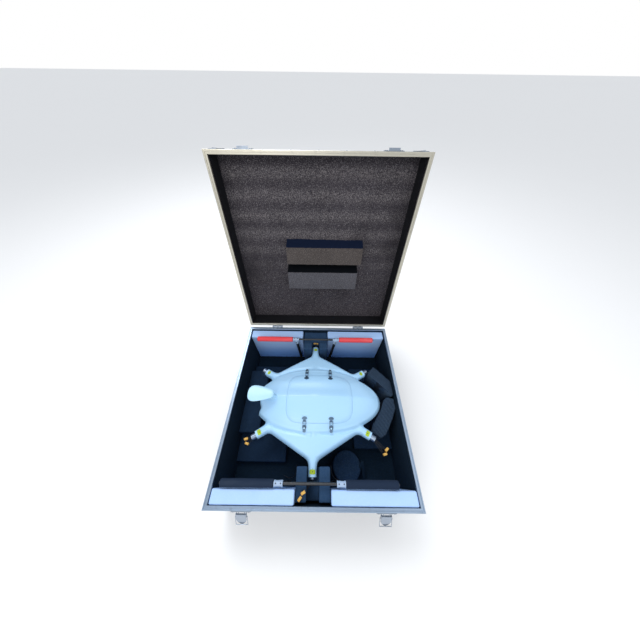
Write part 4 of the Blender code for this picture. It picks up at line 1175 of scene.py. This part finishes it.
def leads():
    """Power leads out of the sleeves, ending in pairs of plugs."""
    spots = {
        "rear": (2, ((-0.016, 0.3270, 0.214), (-0.003, 0.3275, 0.212)), (0.2, -0.3)),
        "front": (5, ((-0.0420, -0.3525, 0.2440), (-0.0540, -0.3700, 0.2440)), (0.5, 0.9)),
        "left": (4, ((-0.3160, -0.1700, 0.190), (-0.3110, -0.1870, 0.180)), (0.3, -0.3)),
        "right": (6, ((0.3180, -0.2040, 0.190), (0.3100, -0.2210, 0.180)), (0.7, 0.3)),
    }
    for name, (k, places, turn) in spots.items():
        way = SOCKETS[k]
        mouth = HUB + way * 0.300
        side = Vector((-way.y, way.x, 0))
        bm = bmesh.new()
        for n, (at, t) in enumerate(zip(places, turn)):
            at = Vector(at)
            connector(f"plug_{name}_{n + 1}", at, t)
            for s in (-0.0030, 0.0030):
                start = mouth + side * s * 1.6
                foot = at + Matrix.Rotation(t, 3, "Z") @ Vector((s, 0, -0.0060))
                bend = foot - UP * 0.012
                out = start + way * 0.016 - UP * 0.001
                sweep(bm, eased([start, out, bend, foot]), 0.0013, 8)
        piece(f"power_leads_{name}", bm, "drone", "wire", 60)


# ---------------------------------------------------------------- hull toggle latches
def latch_frame(x, side):
    """Local axes on the dome: +Y outboard down the slope, +Z off the skin, origin on the hatch line."""
    slope = math.atan2(plain_top(x, 0.094) - plain_top(x, 0.150), 0.056)
    at = HUB + Vector((x, side * HATCH_Y, plain_top(x, HATCH_Y) + 0.0006))
    turn = Matrix.Rotation(0 if side > 0 else math.pi, 4, "Z") @ Matrix.Rotation(-slope, 4, "X")
    return Matrix.Translation(at) @ turn


def strikes():
    """Fan-shaped keepers on the hatch with barrel, pin and rivets, and the rings on the toggle levers."""
    spots = [(x, side) for side in (-1, 1) for x in (-0.041, 0.080)]
    for k, (x, side) in enumerate(spots):
        place = latch_frame(x, side)
        fan = [(-0.0052, -0.0075), (-0.0060, -0.0165)]
        fan += [(0.0122 * math.cos(a), -0.0200 + 0.0088 * math.sin(a))
                for a in (math.radians(180 + 10 * s) for s in range(19))]
        fan += [(0.0060, -0.0165), (0.0052, -0.0075)]
        bm = prism(bmesh.new(), fan, 0.0026, place @ Matrix.Translation((0, 0, -0.0010)))
        pin = Vector((0, -0.0100, 0.0040))
        box(bm, (-0.0043, -0.0116, -0.0010), (0.0043, -0.0084, 0.0040), place)
        rod(bm, place @ (pin - 0.0050 * WIDE), place @ (pin + 0.0050 * WIDE), 0.0022, 20, 0.0003)
        rod(bm, place @ (pin - 0.0080 * WIDE), place @ (pin + 0.0080 * WIDE), 0.0009, 12, 0.0002)
        for a in (-0.0055, 0, 0.0055):
            at = Vector((a, -0.0215 if a else -0.0235, 0.0014))
            rivet(bm, place @ at, place.to_3x3() @ UP, 0.0014, 0.0007)
        piece(f"hatch_strike_{k + 1}", bm, "hatch", "toggle", 32, (), 0.0002)
        wings = [(-0.0062, 0.0080), (-0.0092, 0.0100), (-0.0092, 0.0165), (-0.0060, 0.0225), (0.0060, 0.0225),
                 (0.0092, 0.0165), (0.0092, 0.0100), (0.0062, 0.0080)]
        bm = prism(bmesh.new(), wings, 0.0014, place @ Matrix.Translation((0, 0, -0.0002)))
        piece(f"toggle_wings_{k + 1}", bm, "drone", "toggle", 32, (), 0.0002)
        bm = bmesh.new()
        ring = Vector((0, 0.0178, 0.0071))
        bezel = [(0.0046, 0), (0.0050, 0.0004), (0.0050, 0.0012), (0.0044, 0.0016), (0.0040, 0.0012)]
        bezel.append((0.0040, 0))
        turned(bm, bezel, place @ Matrix.Translation(ring), 28, True)
        piece(f"lever_ring_{k + 1}", bm, f"hull_latch_{k + 1}_lever", "dark_steel", 32)
        bm = turned(bmesh.new(), [(0.0038, 0), (0.0038, 0.0007), (0.0030, 0.0011), (0.0010, 0.0013)],
                    place @ Matrix.Translation(ring), 24)
        piece(f"lever_button_{k + 1}", bm, f"hull_latch_{k + 1}_lever", "pod", 40)


# ---------------------------------------------------------------- landing gear and boxes
def landing_gear():
    for end, foam_paint in (("rear", "float_red"), ("front", "float_black")):
        body = f"skid_{end}"
        low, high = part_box(f"skid_{end}_tube")
        axis = Vector((0, (low.y + high.y) / 2, (low.z + high.z) / 2))
        tube = (high.z - low.z) / 2
        bm = pipe(bmesh.new(), axis + low.x * WIDE, axis + high.x * WIDE, tube, tube - 0.0012, 32, 0.0004)
        piece(f"skid_{end}_cross_tube", bm, body, "carbon", 40, (f"skid_{end}_tube",))
        for side in ("left", "right"):
            low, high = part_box(f"skid_{end}_float_{side}")
            radius = (high.z - low.z) / 2
            length = high.x - low.x
            profile = [(tube + 0.0003, 0.001), (radius * 0.82, 0), (radius * 0.94, 0.0010), (radius, 0.0035)]
            steps = max(int(length / 0.008), 4)
            profile += [(radius, 0.0035 + (length - 0.007) * i / steps) for i in range(1, steps)]
            profile += [(radius, length - 0.0035), (radius * 0.94, length - 0.0010), (radius * 0.82, length),
                        (tube + 0.0003, length - 0.001)]
            bm = turned(bmesh.new(), profile, along(axis + low.x * WIDE, axis + high.x * WIDE), 40, True)
            for v in bm.verts:
                away = Vector((0, v.co.y - axis.y, v.co.z - axis.z))
                if away.length > tube + 0.002:
                    v.co -= away.normalized() * 0.0007 * (noise.noise(v.co * 20) + 1)
            piece(f"float_{end}_{side}", bm, body, foam_paint, 45, (f"skid_{end}_float_{side}",))
            leg(end, side, axis, tube)


def leg(end, side, axis, tube):
    """Tee clamp on the cross tube, with the leg below it."""
    node = f"skid_{end}_leg_{side}"
    low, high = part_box(node)
    tee_half, leg_r, tee_r = 0.017, 0.008, 0.011
    inward = 1 if side == "left" else -1
    x = low.x + tee_half if inward > 0 else high.x - tee_half
    foot_x = high.x - leg_r if inward > 0 else low.x + leg_r
    top = axis + x * WIDE
    foot = Vector((foot_x, axis.y, low.z + 0.001))
    way = (foot - top).normalized()
    bm = bmesh.new()
    # one end of the tee's section, from its mouth to its waist, and the same again mirrored
    half = [(tube + 0.0003, tee_half), (tee_r - 0.0008, tee_half), (tee_r, tee_half - 0.0006),
            (tee_r, tee_half - 0.0050), (tee_r - 0.0012, tee_half - 0.0056)]
    profile = [(r, -z) for r, z in half] + half[::-1]
    turned(bm, profile, along(top, top + WIDE), 40, True)
    profile = [(0.0070, 0.006), (0.0100, 0.0085), (0.0100, 0.0290), (0.0106, 0.0296), (0.0106, 0.0335),
               (0.0100, 0.0341), (0.0086, 0.0341)]
    turned(bm, profile, along(top, foot), 36)
    piece(f"tee_{end}_{side}", bm, f"skid_{end}", "tee", 30, (node,))
    bm = bmesh.new()
    for dx in (-0.0095, 0.0095):
        at = top + dx * WIDE + UP * (tee_r - 0.0016)
        turned(bm, [(0.0024, 0), (0.0024, 0.0018), (0.0021, 0.0021), (0.0012, 0.0021), (0.0012, 0.0012)],
               along(at, at + UP), 6)
    for t in (0.014, 0.022):
        at = top + way * t + Vector((0, -0.0098, 0))
        turned(bm, [(0.0022, 0), (0.0022, 0.0014), (0.0010, 0.0017)], along(at, at - Vector((0, 1, 0))), 14)
    piece(f"tee_bolts_{end}_{side}", bm, f"skid_{end}", "dark_steel", 30)
    bm = pipe(bmesh.new(), top + way * 0.026, foot - way * 0.012, leg_r - 0.0004, leg_r - 0.0016, 28)
    piece(f"leg_tube_{end}_{side}", bm, f"skid_{end}", "carbon", 40)
    bm = turned(bmesh.new(), [(leg_r - 0.001, 0), (leg_r, 0.0008), (leg_r, 0.0135), (leg_r - 0.0006, 0.0140)],
                along(foot, top), 28)
    piece(f"leg_cap_{end}_{side}", bm, f"skid_{end}", "moulded", 32)


def boxes():
    for end in ("rear", "front"):
        for side in ("left", "right"):
            node = f"box_{end}_{side}"
            low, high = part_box(node)

            def soft_side(p, low=low, high=high):
                """Board walls bow in very slightly between their edges."""
                u = (p.x - low.x) / (high.x - low.x)
                w = (p.z - low.z) / (high.z - low.z)
                bow = 0.0012 * math.sin(math.pi * u) * math.sin(math.pi * w)
                return Vector((p.x, p.y + bow * (1 if p.y < (low.y + high.y) / 2 else -1), p.z))

            body = block(bmesh.new(), low, high, 0.0060, 0.010, 0.00035, Matrix(), soft_side)
            piece(f"white_{node}", body, node, "card", 60, (node,))


# ---------------------------------------------------------------- stage
def stage():
    floor_paint = Paint("laminate", "stage_floor", (0.97, 0.97, 0.97), 0.9)
    floor_paint.tint(floor_paint.grain(2, 2), (0.95, 0.95, 0.95), 0.4)
    mesh = bpy.data.meshes.new("stage_floor")
    bm = bmesh.new()
    bmesh.ops.create_grid(bm, x_segments=1, y_segments=1, size=40)
    bm.to_mesh(mesh)
    bm.free()
    floor = bpy.data.objects.new("stage_floor", mesh)
    floor.location = (0, 0, -0.0005)
    mesh.materials.append(floor_paint.mat)
    bpy.context.scene.collection.objects.link(floor)

    sky()
    bpy.context.scene.view_settings.view_transform = "Standard"
    for name, at, size, power, colour in (
        ("key", (-0.8, -2.3, 2.6), 2.4, 26, (1.0, 0.98, 0.95)),
        ("fill", (1.8, -0.6, 2.4), 2.2, 6, (0.90, 0.95, 1.0)),
        ("back", (-0.7, 1.7, 3.1), 2.0, 54, (0.95, 0.97, 1.0)),
    ):
        light = bpy.data.lights.new(name, "AREA")
        light.shape, light.size, light.energy, light.color = "DISK", size, power, colour
        lamp = bpy.data.objects.new(name, light)
        lamp.location = at
        lamp.rotation_mode = "QUATERNION"
        lamp.rotation_quaternion = (Vector(at) - Vector((0, 0.1, 0.3))).to_track_quat("Z", "Y")
        bpy.context.scene.collection.objects.link(lamp)


def sky():
    """Even, slightly cool light from all round, seen by the camera as plain white."""
    world = bpy.data.worlds.new("studio")
    world.use_nodes = True
    nodes, join = world.node_tree.nodes, world.node_tree.links.new
    light, seen = nodes["Background"], nodes.new("ShaderNodeBackground")
    light.inputs["Color"].default_value = (0.93, 0.96, 1.0, 1)
    light.inputs["Strength"].default_value = 0.80
    seen.inputs["Color"].default_value = (1, 1, 1, 1)
    choice = nodes.new("ShaderNodeMixShader")
    join(nodes.new("ShaderNodeLightPath").outputs["Is Camera Ray"], choice.inputs[0])
    join(light.outputs[0], choice.inputs[1])
    join(seen.outputs[0], choice.inputs[2])
    join(choice.outputs[0], nodes["World Output"].inputs["Surface"])
    bpy.context.scene.world = world


def camera():
    data = bpy.data.cameras.new("camera")
    data.lens, data.sensor_width = 11.487, 36
    data.clip_start, data.clip_end = 0.01, 100
    obj = bpy.data.objects.new("camera", data)
    tilt, roll, yaw = math.radians(37.694), math.radians(0.761), math.radians(0.016)
    turn = Matrix.Rotation(yaw, 4, "Z") @ Matrix.Rotation(tilt, 4, "X") @ Matrix.Rotation(roll, 4, "Z")
    obj.matrix_world = Matrix.Translation((0.0132, -0.3067, 0.9959 + RIM_Z)) @ turn
    bpy.context.scene.collection.objects.link(obj)
    bpy.context.scene.camera = obj


def dress():
    """Materials and rounded edges for the CAD nodes that stay."""
    dress_cad(("case_tray", "lid_shell"), "laminate", 0.0006)
    hinges = [f"hinge_{side}_{half}_leaf" for side in ("left", "right") for half in ("case", "lid")]
    dress_cad(hinges, "steel")
    draw = [f"latch_{side}_{part}" for side in ("left", "right") for part in ("plate", "lever", "bail")]
    dress_cad(draw + ["catch_left", "catch_right"], "steel", 0.0002)
    toggles = [f"hull_latch_{k}_{part}" for k in range(1, 5) for part in ("base", "lever", "bail")]
    dress_cad(toggles, "toggle", 0.00015)


def main():
    dress()
    rims()
    edge_angles("tray_edge_angles", "case", ANGLE_OUT, RIM_Z - RIM_SKIRT, -1, Matrix())
    edge_angles("lid_edge_angles", "lid", LID_FACE + RIM_SKIRT, LID_TOP, 1, LID)
    corners()
    side_handles()
    rivets()
    latch_rivets()
    lid_foam()
    tray_foam()
    strips()
    foam_copy("foam_cradle_front", "cradle_front", "post_foam", "case")
    foam_copy("foam_cradle_rear", "cradle_rear", "post_foam", "case")
    foam_copy("foam_offcut_rear", "wedge_rear", "wedge_rear", "case")
    foam_copy("foam_offcut_front", "wedge_front", "wedge_front", "case")
    hull_pieces()
    sleeves()
    labels()
    gps_pod()
    innards()
    leads()
    strikes()
    landing_gear()
    boxes()
    stage()
    camera()


main()
